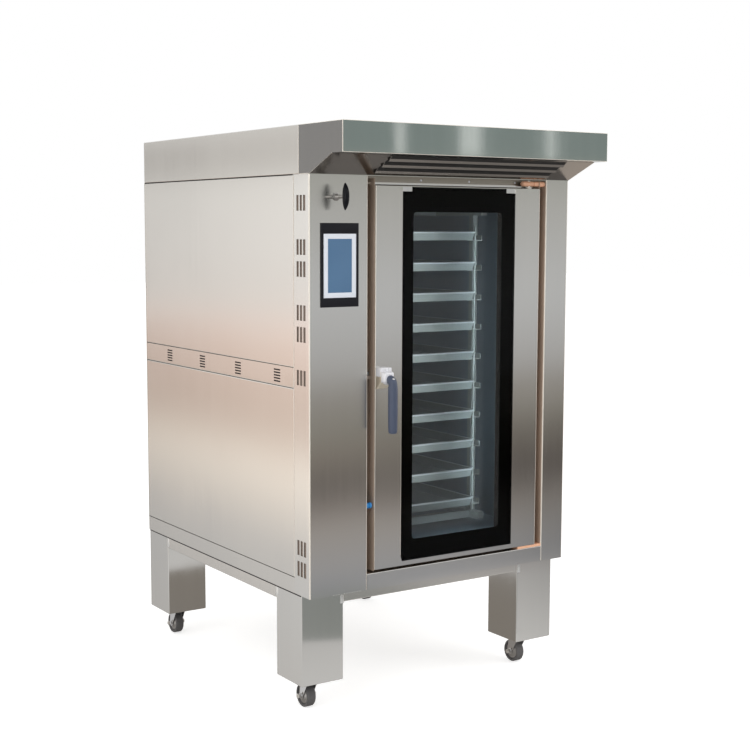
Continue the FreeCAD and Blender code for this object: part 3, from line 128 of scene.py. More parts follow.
def twin(piece, shift):
    """A copy with its own mesh, moved by the shift."""
    other = bpy.data.objects.new(piece.name, piece.data.copy())
    bpy.context.scene.collection.objects.link(other)
    other.data.transform(Matrix.Translation(Vector(shift)))
    return other


def joined(pieces):
    """Join pieces into the first."""
    deselect()
    for piece in pieces:
        piece.select_set(True)
    bpy.context.view_layer.objects.active = pieces[0]
    if len(pieces) > 1:
        bpy.ops.object.join()
    return pieces[0]


def block(low, high):
    """A cube primitive stretched between two corners."""
    deselect()
    low, high = Vector(low), Vector(high)
    bpy.ops.mesh.primitive_cube_add(size=1, location=(low + high) / 2)
    piece = active()
    piece.scale = high - low
    apply_place()
    return piece


def eased_block(low, high, ease, segments=2):
    """A block between two corners with its edges rounded."""
    piece = block(low, high)
    round_edges(piece, ease, segments)
    return piece


def move_corners(piece, test, travel):
    """Shift those corners of a piece that pass the test."""
    edit_pick(piece, "VERT", test)
    bpy.ops.transform.translate(value=travel)
    set_mode("OBJECT")


def start_ring(centre, axis, radius, sides):
    """An open ring of edges square to the axis, in edit mode and selected, ready to be extruded."""
    deselect()
    turn = Vector(axis).to_track_quat("Z", "Y").to_euler()
    bpy.ops.mesh.primitive_circle_add(vertices=sides, radius=radius, fill_type="NOTHING", location=centre,
                                      rotation=turn)
    piece = active()
    apply_place()
    set_mode("EDIT")
    select_whole()
    return piece


def grow(travel, share=1.0, centre=None):
    """Extrude the selection along a vector, then size it about its centre."""
    bpy.ops.mesh.extrude_region_move(TRANSFORM_OT_translate={"value": travel})
    if share != 1.0:
        bpy.ops.transform.resize(value=(share, share, share), center_override=centre)


def drawn(rings, axis, sides):
    """A closed piece through rings of (centre, radius) that are all square to the axis."""
    place, radius = rings[0]
    piece = start_ring(place, axis, radius, sides)
    bpy.ops.mesh.edge_face_add()
    select_whole()
    for goal, wide in rings[1:]:
        grow(goal - place, wide / radius, goal)
        place, radius = goal, wide
    set_mode("OBJECT")
    return piece


def turned(centre, axis, profile, sides=24):
    """A closed turned piece: profile is (distance along the axis, radius) from its foot up."""
    centre, axis = Vector(centre), Vector(axis).normalized()
    return drawn([(centre + axis * far, wide) for far, wide in profile], axis, sides)


# ---------------- camera
CAMERA_PLACE = Vector((-2.5698, -3.9666, 1.5127))
CAMERA_YAW = math.radians(33.524)
CAMERA_PITCH = math.radians(6.1916)
CAMERA_ROLL = math.radians(0.172)
LENS = 65.84
SENSOR = 36.0


def set_camera():
    data = bpy.data.cameras.new("view")
    data.sensor_width = SENSOR
    data.lens = LENS
    camera = bpy.data.objects.new("view", data)
    bpy.context.scene.collection.objects.link(camera)
    camera.matrix_world = (Matrix.Translation(CAMERA_PLACE) @ Matrix.Rotation(-CAMERA_YAW, 4, "Z")
                           @ Matrix.Rotation(math.radians(90) - CAMERA_PITCH, 4, "X")
                           @ Matrix.Rotation(CAMERA_ROLL, 4, "Z"))
    bpy.context.scene.camera = camera
    bpy.context.scene.view_settings.view_transform = "Standard"


# ---------------- studio
STEEL_TONE = srgb(215, 213, 208)
SOFT_SKY = (1.0, 0.99, 0.97, 1)
SOFT_SKY_STRENGTH = 0.7
WHITE = (1, 1, 1, 1)
FLOOR_SIZE = 60
FLOOR_DROP = 0.0005
FLOOR_GREY = (0.8, 0.8, 0.8, 1)
FLOOR_GLOW = 0.62
FRONT_FACE = -0.49
SIDE_FACE = 0.5
CARD_LIFT = 0.001
SHADE_LIFT = 2 * CARD_LIFT
FRONT_WALL = -5.5
BACK_WALL = 5.5
SIDE_WALL = 6.5
WALL_HEIGHT = 2.7
FAR_RIGHT = 14.0
FAR_BACK = 18.0
NEAR_CARD_END = -1.0
GROUND_SPLIT = -0.3


def add_node(tree, kind):
    return tree.nodes.new("ShaderNode" + kind)


def wire(source, target):
    """Link one socket to another."""
    target.id_data.links.new(source, target)


def fill(node, values):
    """Give a node's inputs their plain values."""
    for label, given in values.items():
        node.inputs[label].default_value = given


def math_node(tree, operation, first, second=0.0):
    """A maths node; each side is a socket or a number."""
    node = add_node(tree, "Math")
    node.operation = operation
    for socket, given in zip(node.inputs, (first, second)):
        if isinstance(given, (int, float)):
            socket.default_value = given
        else:
            wire(given, socket)
    return node.outputs[0]


def seen_rays(tree):
    """A value of 1 for rays that show the background: camera, mirror and glass rays."""
    path = add_node(tree, "LightPath")
    plain = math_node(tree, "MAXIMUM", path.outputs["Is Camera Ray"], path.outputs["Is Glossy Ray"])
    return math_node(tree, "MAXIMUM", plain, path.outputs["Is Transmission Ray"])


def bare_material(name):
    """A material with only its output in it, and the socket that its surface goes into."""
    material = bpy.data.materials.new(name)
    material.use_nodes = True
    material.node_tree.nodes.clear()
    return material, material.node_tree, add_node(material.node_tree, "OutputMaterial").inputs["Surface"]


def set_world():
    world = bpy.data.worlds.new("studio")
    bpy.context.scene.world = world
    world.use_nodes = True
    tree = world.node_tree
    tree.nodes.clear()
    mix = add_node(tree, "MixShader")
    wire(seen_rays(tree), mix.inputs[0])
    for place, colour, strength in ((1, SOFT_SKY, SOFT_SKY_STRENGTH), (2, WHITE, 1.0)):
        glow = add_node(tree, "Background")
        fill(glow, {"Color": colour, "Strength": strength})
        wire(glow.outputs[0], mix.inputs[place])
    wire(mix.outputs[0], add_node(tree, "OutputWorld").inputs["Surface"])


def set_floor():
    """A pale floor that takes the oven's shadow and glows to white where the camera or a mirror sees it."""
    deselect()
    bpy.ops.mesh.primitive_plane_add(size=FLOOR_SIZE, location=(0, 0, -FLOOR_DROP))
    floor = active()
    floor.name = "floor"
    material, tree, surface = bare_material("pale_floor")
    add = add_node(tree, "AddShader")
    diffuse = add_node(tree, "BsdfDiffuse")
    fill(diffuse, {"Color": FLOOR_GREY})
    glow = add_node(tree, "Emission")
    wire(math_node(tree, "MULTIPLY", seen_rays(tree), FLOOR_GLOW), glow.inputs["Strength"])
    wire(diffuse.outputs[0], add.inputs[0])
    wire(glow.outputs[0], add.inputs[1])
    wire(add.outputs[0], surface)
    floor.data.materials.append(material)


def area_lamp(name, place, aim, size, power, colour=(1.0, 1.0, 1.0)):
    """A soft lamp that mirrors, glass and the camera don't show."""
    data = bpy.data.lights.new(name, "AREA")
    data.shape = "RECTANGLE"
    data.size, data.size_y = size
    data.energy = power
    data.color = colour
    lamp = bpy.data.objects.new(name, data)
    lamp.location = place
    lamp.rotation_mode = "QUATERNION"
    lamp.rotation_quaternion = (Vector(aim) - Vector(place)).to_track_quat("-Z", "Y")
    lamp.visible_camera = lamp.visible_glossy = lamp.visible_transmission = False
    bpy.context.scene.collection.objects.link(lamp)


def mirrored(red, green, blue):
    """The colour a card needs so that the steel shows this one."""
    return (*(seen / steel for seen, steel in zip(srgb(red, green, blue)[:3], STEEL_TONE)), 1.0)


def ramp_along(tree, distance, stops):
    """A colour ramp over stops of (metres, colour seen in the steel), in rising order."""
    first, last = stops[0][0], stops[-1][0]
    share = add_node(tree, "MapRange")
    fill(share, {"From Min": first, "From Max": last})
    wire(distance, share.inputs["Value"])
    ramp = add_node(tree, "ValToRGB")
    ramp.color_ramp.interpolation = "EASE"
    while len(ramp.color_ramp.elements) < len(stops):
        ramp.color_ramp.elements.new(0.5)
    for element, (metres, seen) in zip(ramp.color_ramp.elements, stops):
        element.position = (metres - first) / (last - first)
        element.color = mirrored(*seen)
    wire(share.outputs[0], ramp.inputs[0])
    return ramp.outputs[0]


def studio_card(name, low, high, measure, stops, fade=None, strength=1.0):
    """A card between two corners that only mirrors see.

    measure is the axis and origin that its stops are measured from, and fade is (share of x, share of y,
    start, end, brightness at the start, brightness at the end).
    """
    deselect()
    low, high = Vector(low), Vector(high)
    size = high - low
    quarter = math.radians(90)
    turn = (quarter if size.z else 0, 0, 0 if size.x else quarter)
    bpy.ops.mesh.primitive_plane_add(size=1, location=(low + high) / 2, rotation=turn)
    card = active()
    card.scale = (size.x or size.y, size.z or size.y, 1)
    apply_place()
    card.name = name
    material, tree, surface = bare_material(name)
    glow = add_node(tree, "Emission")
    fill(glow, {"Strength": strength})
    place = add_node(tree, "TexCoord")
    split = add_node(tree, "SeparateXYZ")
    wire(place.outputs["Object"], split.inputs[0])
    axis, origin = measure
    distance = math_node(tree, "SUBTRACT", math_node(tree, "ABSOLUTE", split.outputs[axis]), origin)
    wire(ramp_along(tree, distance, stops), glow.inputs["Color"])
    if fade:
        share_x, share_y, start, end, near, far = fade
        slant = weighted_sum(tree, ((share_x, split.outputs["X"]), (share_y, split.outputs["Y"])))
        level = add_node(tree, "MapRange")
        fill(level, {"From Min": start, "From Max": end, "To Min": near, "To Max": far})
        wire(slant, level.inputs["Value"])
        wire(math_node(tree, "MULTIPLY", level.outputs[0], strength), glow.inputs["Strength"])
    wire(glow.outputs[0], surface)
    card.data.materials.append(material)
    card.visible_camera = card.visible_diffuse = card.visible_shadow = card.visible_transmission = False
    return card


def wall_card(name, start, end, stops, fade=None):
    """An upright card between two (x, y) corners, from the ground to the height of the walls."""
    studio_card(name, (*start, 0), (*end, WALL_HEIGHT), ("Z", 0.0), stops, fade)


def ground_card(name, start, end, lift, measure, stops, fade=None):
    """A level card between two (x, y) corners, a little above the floor."""
    return studio_card(name, (*start, lift), (*end, lift), measure, stops, fade)


WALL_FRONT = [(0.0, (130, 127, 117)), (0.30, (134, 129, 122)), (0.42, (163, 162, 159)),
              (1.0, (176, 176, 174)), (1.65, (166, 165, 160)), (1.9, (156, 154, 145)),
              (2.05, (132, 137, 133)), (2.7, (128, 134, 130))]
WALL_SIDE = [(0.0, (217, 195, 181)), (0.12, (219, 197, 183)), (0.3, (232, 213, 202)),
             (0.62, (216, 210, 203)), (1.4, (219, 215, 209)), (2.0, (219, 216, 210)),
             (2.25, (192, 188, 182)), (2.7, (190, 186, 180))]
GROUND_FRONT = [(0.0, (188, 186, 182)), (0.9, (176, 174, 170)), (1.15, (166, 162, 158)),
                (1.32, (132, 134, 137)), (1.6, (147, 145, 143)), (2.3, (150, 144, 137)),
                (2.65, (128, 120, 113)), (3.0, (98, 92, 87)), (3.45, (98, 92, 86)), (4.2, (124, 116, 106)),
                (5.1, (130, 127, 117))]
GROUND_SIDE = [(0.0, (186, 183, 178)), (0.8, (188, 186, 182)), (1.1, (190, 187, 183)),
               (1.5, (213, 205, 195)), (2.0, (238, 228, 214)), (2.4, (236, 225, 211)),
               (2.75, (205, 187, 173)), (3.6, (200, 180, 166)), (6.0, (217, 195, 181))]
SHADED_GROUND = [(0.0, (120, 114, 106)), (1.0, (124, 120, 115))]
LEG_GROUND = [(-0.62, (133, 135, 130)), (1.2, (118, 120, 116))]
WHITE_CARD = [(0.0, (215, 213, 208)), (WALL_HEIGHT, (215, 213, 208))]
FRONT_FADE = (1.0, 0.5, 0.2, 0.95, 1.0, 0.57)
SIDE_FADE = (2.0, 1.0, -3.0, 1.2, 1.16, 0.62)
CHAMBER_TINT = (0.8, 0.92, 1.0)
CHAMBER_PLACES = (-0.19, 0.25)
STREAKS = ((2.35, 0.05, 0.5), (3.0, 0.045, 0.85), (3.63, 0.09, 1.0), (4.4, 0.045, 1.0))
STREAK_FOOT = 2.0
STREAK_WALL = FRONT_WALL + 0.02
SHADE_BACK = -1.75
SHADE_EDGE = -1.08
SHADE_SLANT = 0.448


def set_studio():
    set_world()
    set_floor()
    area_lamp("left_window", (-4.0, -2.0, 3.4), (0, 0, 1.0), (3.0, 3.0), 70)
    area_lamp("right_window", (3.2, -3.6, 3.0), (0, 0, 1.0), (2.4, 2.4), 60)
    for x in CHAMBER_PLACES:
        area_lamp("chamber_light", (x, -0.375, 1.03), (0.05, 0.1, 1.03), (0.03, 0.95), 1.9, CHAMBER_TINT)
    wall_card("front_card", (NEAR_CARD_END, FRONT_WALL), (FAR_RIGHT, FRONT_WALL), WALL_FRONT)
    wall_card("back_card", (-1.8, BACK_WALL), (FAR_RIGHT, BACK_WALL), WALL_FRONT)
    wall_card("left_card", (-SIDE_WALL, -1.0), (-SIDE_WALL, FAR_BACK), WALL_SIDE, SIDE_FADE)
    wall_card("right_card", (SIDE_WALL, -4.0), (SIDE_WALL, BACK_WALL), WALL_SIDE)
    ground_card("front_ground", (-SIDE_WALL, FRONT_WALL), (FAR_RIGHT, GROUND_SPLIT), CARD_LIFT,
                ("Y", -FRONT_FACE), GROUND_FRONT, FRONT_FADE)
    ground_card("shade_under", (-0.5, -0.42), (0.5, 0.66), SHADE_LIFT, ("X", 0.0), SHADED_GROUND)
    shade = ground_card("shade_before", (-0.4, SHADE_BACK), (0.62, SHADE_EDGE), SHADE_LIFT, ("X", 0.0),
                        LEG_GROUND)
    for corner in shade.data.vertices:
        if corner.co.y > SHADE_BACK + 0.1:
            corner.co.y = SHADE_EDGE + SHADE_SLANT * corner.co.x
    wall_card("near_card", (-4.2, FRONT_WALL), (NEAR_CARD_END, FRONT_WALL), WALL_FRONT)
    studio_card("corner_light", (-6.4, -6.4, 0), (-4.3, -6.4, 3.2), ("Z", 0.0), WHITE_CARD, strength=3.6)
    for middle, half_wide, strength in STREAKS:
        studio_card("streak_light", (middle - half_wide, STREAK_WALL, STREAK_FOOT),
                    (middle + half_wide, STREAK_WALL, WALL_HEIGHT), ("Z", 0.0), WHITE_CARD,
                    strength=strength)
    ground_card("side_ground", (-SIDE_WALL, GROUND_SPLIT), (SIDE_WALL, FAR_BACK), CARD_LIFT,
                ("X", SIDE_FACE), GROUND_SIDE, SIDE_FADE)


# ---------------- shared effects
PALE = (0.7, 0.7, 0.7, 1)
DULL = (0.6, 0.6, 0.6, 1)


def new_skin(name, own_input):
    """A skin group and its sockets: a place, an input of its own, a roughness and two tones go in."""
    tree = bpy.data.node_groups.new(name, "ShaderNodeTree")
    for label, kind, start in (("Place", "Vector", (0, 0, 0)), own_input, ("Roughness", "Float", 0.4),
                               ("Light", "Color", PALE), ("Dark", "Color", DULL)):
        socket = tree.interface.new_socket(name=label, in_out="INPUT", socket_type="NodeSocket" + kind)
        socket.default_value = start
    for label, kind in (("Color", "Color"), ("Roughness", "Float"), ("Height", "Float")):
        tree.interface.new_socket(name=label, in_out="OUTPUT", socket_type="NodeSocket" + kind)
    return tree, tree.nodes.new("NodeGroupInput").outputs, tree.nodes.new("NodeGroupOutput").inputs


def blend_tones(tree, share, given, wanted):
    """Run the skin's colour between its dark and light tones."""
    node = add_node(tree, "Mix")
    node.data_type = "RGBA"
    wire(share, node.inputs["Factor"])
    wire(given["Dark"], node.inputs[6])
    wire(given["Light"], node.inputs[7])
    wire(node.outputs[2], wanted["Color"])


def noise(tree, place, scale, detail=2.0, rough=0.5):
    """A noise value; the scale is a number or a socket."""
    node = add_node(tree, "TexNoise")
    fill(node, {"Detail": detail, "Roughness": rough})
    if isinstance(scale, float):
        fill(node, {"Scale": scale})
    else:
        wire(scale, node.inputs["Scale"])
    wire(place, node.inputs["Vector"])
    return node.outputs["Fac"]


def weighted_sum(tree, parts):
    """The sum of (weight, socket) parts."""
    total = 0.0
    for weight, socket in parts:
        total = math_node(tree, "ADD", math_node(tree, "MULTIPLY", socket, weight), total)
    return total


def grain_group():
    """Fine grinding lines stretched along one direction, broad streaks and soft handling smears."""
    tree, given, wanted = new_skin("brushed_grain", ("Stretch", "Vector", (1, 1, 1)))
    stretch = add_node(tree, "VectorMath")
    stretch.operation = "MULTIPLY"
    wire(given["Place"], stretch.inputs[0])
    wire(given["Stretch"], stretch.inputs[1])
    lines = noise(tree, stretch.outputs[0], 1.0, 3.0, 0.6)
    streaks = noise(tree, stretch.outputs[0], 0.07)
    smears = noise(tree, given["Place"], 2.6, 3.0, 0.6)
    blend_tones(tree, weighted_sum(tree, ((0.35, lines), (0.3, streaks), (0.35, smears))), given, wanted)
    swing = math_node(tree, "SUBTRACT", weighted_sum(tree, ((0.5, streaks), (1.0, smears))), 0.75)
    rough = math_node(tree, "ADD", given["Roughness"], math_node(tree, "MULTIPLY", swing, 0.08))
    wire(rough, wanted["Roughness"])
    wire(lines, wanted["Height"])
    return tree


def mottle_group():
    """Slow change of tone and gloss over moulded, painted or rubber skins, with a fine skin texture."""
    tree, given, wanted = new_skin("skin_mottle", ("Scale", "Float", 40.0))
    blend_tones(tree, noise(tree, given["Place"], 6.0), given, wanted)
    fine = noise(tree, given["Place"], given["Scale"], 3.0)
    swing = math_node(tree, "MULTIPLY", math_node(tree, "SUBTRACT", fine, 0.5), 0.2)
    wire(math_node(tree, "ADD", given["Roughness"], swing), wanted["Roughness"])
    wire(fine, wanted["Height"])
    return tree


GRAIN = grain_group()
MOTTLE = mottle_group()
UPRIGHT_GRAIN = (900.0, 900.0, 14.0)
LEVEL_GRAIN_X = (14.0, 900.0, 900.0)
LEVEL_GRAIN_Y = (900.0, 14.0, 900.0)
RELIEF_DEEP = 0.0004


def new_material(name):
    material = bpy.data.materials.new(name)
    material.use_nodes = True
    return material, material.node_tree, material.node_tree.nodes["Principled BSDF"]


def wear_skin(tree, shader, group, light, dark, relief_strength, values):
    """Place a skin group in the material, give it its tones and values and feed the shader from it."""
    skin = add_node(tree, "Group")
    skin.node_tree = group
    fill(skin, {"Light": srgb(*light), "Dark": srgb(*dark), **values})
    place = add_node(tree, "TexCoord")
    wire(place.outputs["Object"], skin.inputs["Place"])
    wire(skin.outputs["Color"], shader.inputs["Base Color"])
    wire(skin.outputs["Roughness"], shader.inputs["Roughness"])
    relief = add_node(tree, "Bump")
    fill(relief, {"Strength": relief_strength, "Distance": RELIEF_DEEP})
    wire(skin.outputs["Height"], relief.inputs["Height"])
    wire(relief.outputs["Normal"], shader.inputs["Normal"])


def brushed_metal(name, light, dark, rough, stretch=UPRIGHT_GRAIN, anisotropy=0.0, metallic=1.0,
                  relief=0.03):
    """Ground or drawn metal; light and dark are the screen colours that its grain runs between."""
    material, tree, shader = new_material(name)
    fill(shader, {"Metallic": metallic, "Anisotropic": anisotropy})
    wear_skin(tree, shader, GRAIN, light, dark, relief, {"Stretch": stretch, "Roughness": rough})
    if anisotropy:
        tangent = add_node(tree, "Tangent")
        tangent.direction_type = "RADIAL"
        tangent.axis = "Z"
        wire(tangent.outputs[0], shader.inputs["Tangent"])
    return material


def moulded(name, light, dark, rough, scale=400.0, relief=0.08, coat=0.0, gloss=0.5):
    """Plastic, rubber, paint or wool; light and dark are the screen colours that its skin runs between."""
    material, tree, shader = new_material(name)
    fill(shader, {"Metallic": 0.0, "Coat Weight": coat, "Specular IOR Level": gloss})
    wear_skin(tree, shader, MOTTLE, light, dark, relief, {"Scale": scale, "Roughness": rough})
    return material


def clear_glass(name, colour, rough, ior):
    material, tree, shader = new_material(name)
    fill(shader, {"Base Color": srgb(*colour), "Transmission Weight": 1.0, "IOR": ior, "Roughness": rough})
    return material


def ground_sheet(name, light, dark, rough=0.18):
    """Sheet steel whose grinding marks draw its reflections out sideways."""
    return brushed_metal(name, light, dark, rough, anisotropy=0.85)


STEEL_SIDE = ground_sheet("brushed_side_steel", (219, 216, 210), (209, 206, 201))
STEEL_FRONT = ground_sheet("brushed_front_steel", (219, 217, 212), (209, 207, 203))
STEEL_BAND = ground_sheet("brushed_band_steel", (209, 206, 200), (199, 196, 191))
STEEL_LEG = ground_sheet("brushed_leg_steel", (219, 217, 212), (209, 207, 203), 0.13)
STEEL_RAIL = brushed_metal("rail_tube_steel", (222, 219, 213), (208, 204, 198), 0.25, anisotropy=0.6)
# Painted shade: the hood's side plates take this darker steel in place of the shade on them.
STEEL_HOOD_SIDE_SHADE = brushed_metal("hood_side_painted_shade", (134, 133, 131), (119, 118, 116), 0.26)
# Painted shade: the header's face above its lip takes this darker steel in place of the shade under the
# hood.
STEEL_SHADE = brushed_metal("header_painted_shade", (176, 168, 156), (150, 143, 132), 0.34, metallic=0.7)
STEEL_HOOD = brushed_metal("brushed_hood_steel", (197, 203, 198), (186, 192, 187), 0.06, relief=0.01)
# Painted shade: the polished louvre panel under the hood takes this darker steel in place of the shade
# there.
STEEL_LOUVRE_SHADE = brushed_metal("louvre_sheet_painted_shade", (158, 151, 143), (136, 129, 122), 0.2)
STEEL_EDGE = brushed_metal("jamb_steel", (196, 176, 160), (168, 148, 132), 0.4, metallic=0.25)
STEEL_INSIDE = brushed_metal("chamber_steel", (168, 182, 190), (136, 150, 160), 0.38, metallic=0.7)
STEEL_RACK = brushed_metal("rack_steel", (188, 192, 186), (160, 165, 160), 0.30, metallic=0.7)
TRAY_METAL = brushed_metal("tray_aluminium", (178, 184, 178), (146, 153, 148), 0.36, LEVEL_GRAIN_Y,
                           metallic=0.8)
TRAY_RIM = brushed_metal("tray_rim_wire", (240, 242, 242), (222, 226, 226), 0.3, metallic=0.7)
CHROME = brushed_metal("bright_chrome", (232, 232, 232), (215, 215, 216), 0.08)
ZINC = brushed_metal("zinc_plate", (205, 203, 200), (160, 157, 154), 0.3, metallic=0.85)
WELD = brushed_metal("ground_weld", (236, 234, 230), (196, 190, 182), 0.35, metallic=0.7)
ESCUTCHEON = brushed_metal("escutcheon_sheet", (222, 212, 194), (204, 192, 172), 0.3, metallic=0.6)
CASTING = brushed_metal("white_metal_casting", (246, 246, 250), (228, 228, 234), 0.28, metallic=0.25)
# Painted highlight: near-white metal on the narrow faces of rounded bends and on the bright edge strips.
BEND_HIGHLIGHT = brushed_metal("painted_bend_highlight", (248, 242, 232), (236, 228, 216), 0.35, metallic=0.35)
GROUND_SPOT = brushed_metal("ground_spot", (230, 230, 228), (202, 202, 200), 0.4, metallic=0.5)
BRASS = brushed_metal("turned_brass", (252, 198, 164), (236, 176, 142), 0.35, LEVEL_GRAIN_X, metallic=0.1)
COPPER = brushed_metal("drawn_copper", (205, 140, 105), (170, 105, 78), 0.35)
GLASS = clear_glass("door_glass", (243, 246, 248), 0.0, 1.2)
# Painted shade: the brown-grey of the shaded inside seen through the column's slots.
VENT_SHADE = moulded("vent_painted_shade", (150, 134, 123), (120, 106, 97), 0.6)
# Near black: real dark sealant in the band seam, and painted shade in the base shadow line, the vent strip's
# recess and the louvre shadows.
SEALANT_AND_SHADE = moulded("dark_sealant_and_painted_shade", (34, 30, 27), (22, 20, 18), 0.7)
PRINT = moulded("printed_border", (11, 12, 13), (7, 8, 9), 0.3, gloss=0.15)
BEZEL = moulded("screen_bezel_black", (30, 30, 36), (22, 22, 28), 0.32, scale=900.0, gloss=0.2)
WHITE_FRAME = moulded("screen_surround_white", (232, 236, 244), (222, 227, 238), 0.4, scale=900.0)
PICTURE = moulded("screen_picture_blue", (86, 124, 160), (70, 106, 143), 0.3, scale=900.0, coat=0.2)
GRIP = moulded("grip_blue_grey", (82, 92, 114), (58, 66, 86), 0.32, scale=700.0)
KNOB = moulded("knob_black", (24, 26, 30), (14, 15, 18), 0.2, scale=700.0, gloss=0.14)
SEAL = moulded("seal_rubber", (44, 44, 44), (30, 30, 30), 0.7)
TYRE = moulded("wheel_rubber", (118, 116, 116), (52, 51, 53), 0.5, scale=260.0)
WOOL = moulded("mineral_wool", (196, 186, 140), (150, 138, 96), 0.95, scale=60.0, relief=0.5)
MOTOR_PAINT = moulded("motor_paint", (92, 98, 104), (70, 76, 82), 0.42, coat=0.2)
BLUE = moulded("blue_fitting", (40, 140, 205), (24, 108, 176), 0.3)

FINISHES = {
    STEEL_SIDE: ("side_panels_left", "vent_strip_left", "side_panels_right", "back_panel", "roof_panel",
                 "base_tray", "handle_base"),
    STEEL_FRONT: ("control_column", "right_column", "front_sill", "header_rail", "door_frame"),
    STEEL_LEG: ("stand_legs",),
    STEEL_BAND: ("roof_band",),
    STEEL_RAIL: ("stand_rails",),
    STEEL_HOOD: ("hood_canopy",),
    STEEL_LOUVRE_SHADE: ("hood_louver_panel",),
    STEEL_EDGE: ("front_frame",),
    STEEL_INSIDE: ("chamber_walls", "fan_baffle", "flue_pipe", "damper_flap", "fan_wheel",
                   "heater_coils", "latch_keeper", "rack_floor_bearing"),
    STEEL_RACK: ("rack_base", "rack_uprights", "tray_runners", "rack_head"),
    TRAY_METAL: ("baking_trays",),
    CHROME: ("caster_plates", "handle_lever", "panel_screws", "glass_clips", "caster_fork_fl",
             "caster_fork_fr", "caster_fork_rl", "caster_fork_rr"),
    BRASS: ("hinge_brackets",),
    COPPER: ("water_line",),
    GLASS: ("outer_glass", "inner_glass"),
    PRINT: ("glass_border",),
    BEZEL: ("screen_bezel", "cable_gland"),
    WHITE_FRAME: ("screen_display",),
    GRIP: ("handle_grip",),
    KNOB: ("damper_handle",),
    SEAL: ("door_gasket",),
    TYRE: ("caster_wheel_fl", "caster_wheel_fr", "caster_wheel_rl", "caster_wheel_rr"),
    WOOL: ("insulation_slabs",),
    MOTOR_PAINT: ("rack_gearmotor", "fan_motor", "control_box"),
    BLUE: ("hose_fitting",),
}


def finish_nodes():
    for material, names in FINISHES.items():
        for name in names:
            mesh = NODES[name].data
            mesh.materials.clear()
            mesh.materials.append(material)


# ---------------- folded sheet
BEND_RADIUS = 0.003
FOLDED = {
    ("cabinet", "steel_panel"): ("side_panels_left", "vent_strip_left", "side_panels_right", "back_panel",
                                 "roof_band", "base_tray"),
    ("cabinet", "steel_front"): ("control_column", "right_column", "front_sill", "header_rail",
                                 "stand_legs", "stand_rails", "hood_canopy"),
    ("door", "steel_front"): ("door_frame",),
}
HEADER_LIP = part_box("header_rail")[0].z + 0.012
# Painted shade: these faces take a darker metal than their sheet, the hood's side plates and the header's
# face above its lip.
SHADED_FACES = {
    "hood_canopy": (STEEL_HOOD_SIDE_SHADE, lambda face: abs(face.normal.x) > 0.9),
    "header_rail": (STEEL_SHADE, lambda face: face.normal.y < -0.9 and face.center.z > HEADER_LIP),
}
# Sheets whose narrow bend faces take the painted highlight.
BEND_HIGHLIGHTS = ("hood_canopy", "door_frame", "control_column", "right_column")
HIGHLIGHT_WIDTH = 0.0025
SHORTEST_BEND = 0.06
NARROWEST_FACE = 0.006


def face_width(mesh, face):
    """About how wide a long face is: twice its area over half its outline."""
    corners = [mesh.vertices[i].co for i in face.vertices]
    outline = sum((a - b).length for a, b in zip(corners, corners[1:] + corners[:1]))
    return 2 * face.area / outline


def outer_bends(mesh, upright):
    """The keys of long outer edges where two wide faces meet at a bend, or of the upright ones alone."""
    beside = {}
    for face in mesh.polygons:
        for key in face.edge_keys:
            beside.setdefault(key, []).append(face)
    bends = set()
    for key, faces in beside.items():
        start, end = (mesh.vertices[i].co for i in key)
        if len(faces) != 2 or (end - start).length < SHORTEST_BEND:
            continue
        first, second = faces
        flat = first.normal.dot(second.normal) > 0.6
        narrow = min(face_width(mesh, first), face_width(mesh, second)) < NARROWEST_FACE
        level = abs((end - start).normalized().z) < 0.99
        if flat or narrow or (upright and level):
            continue
        if (second.center - first.center).dot(first.normal) < -1e-5:
            bends.add(key)
    return bends


def merged_copy(node):
    """A copy of a node with its loose triangles merged into flat faces."""
    piece = bpy.data.objects.new(node, NODES[node].data.copy())
    bpy.context.scene.collection.objects.link(piece)
    pick(piece)
    bpy.ops.mesh.customdata_custom_splitnormals_clear()
    set_mode("EDIT")
    select_whole()
    bpy.ops.mesh.remove_doubles(threshold=0.00002)
    bpy.ops.mesh.dissolve_limited(angle_limit=math.radians(1))
    set_mode("OBJECT")
    return piece


def ease_node(node, ease, segments, name, body, material, angle=40):
    """Round the edges of a node in a merged copy that takes its place."""
    piece = merged_copy(node)
    round_edges(piece, ease, segments, angle)
    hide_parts(node)
    settle(piece, name, body, material)


def fold_sheet(node, body):
    """Round the bends of a sheet node in a merged copy that takes its place.

    The copy keeps the node's metal. Some faces take a darker metal of painted shade instead, and the narrow
    faces of bends a brighter metal of painted highlight.
    """
    piece = merged_copy(node)
    bends = outer_bends(piece.data, upright=node == "door_frame")
    edit_pick(piece, "EDGE", lambda edge: edge.key in bends)
    bpy.ops.mesh.bevel(offset=BEND_RADIUS, segments=3, clamp_overlap=True)
    set_mode("OBJECT")
    bpy.ops.object.shade_smooth_by_angle(angle=math.radians(35))
    apply_modifier(piece, "WEIGHTED_NORMAL", keep_sharp=True)
    piece.name = node + "_folded"
    piece.data.name = piece.name
    shade, shaded = SHADED_FACES.get(node, (BEND_HIGHLIGHT, lambda face: False))
    highlit = node in BEND_HIGHLIGHTS
    if highlit or node in SHADED_FACES:
        piece.data.materials.append(shade)
        if highlit:
            piece.data.materials.append(BEND_HIGHLIGHT)
        for face in piece.data.polygons:
            slanted = max(abs(value) for value in face.normal) < 0.985
            bent = highlit and slanted and face_width(piece.data, face) < HIGHLIGHT_WIDTH
            face.material_index = 2 if bent else int(shaded(face))
    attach(piece, body)
    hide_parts(node)
    deselect()


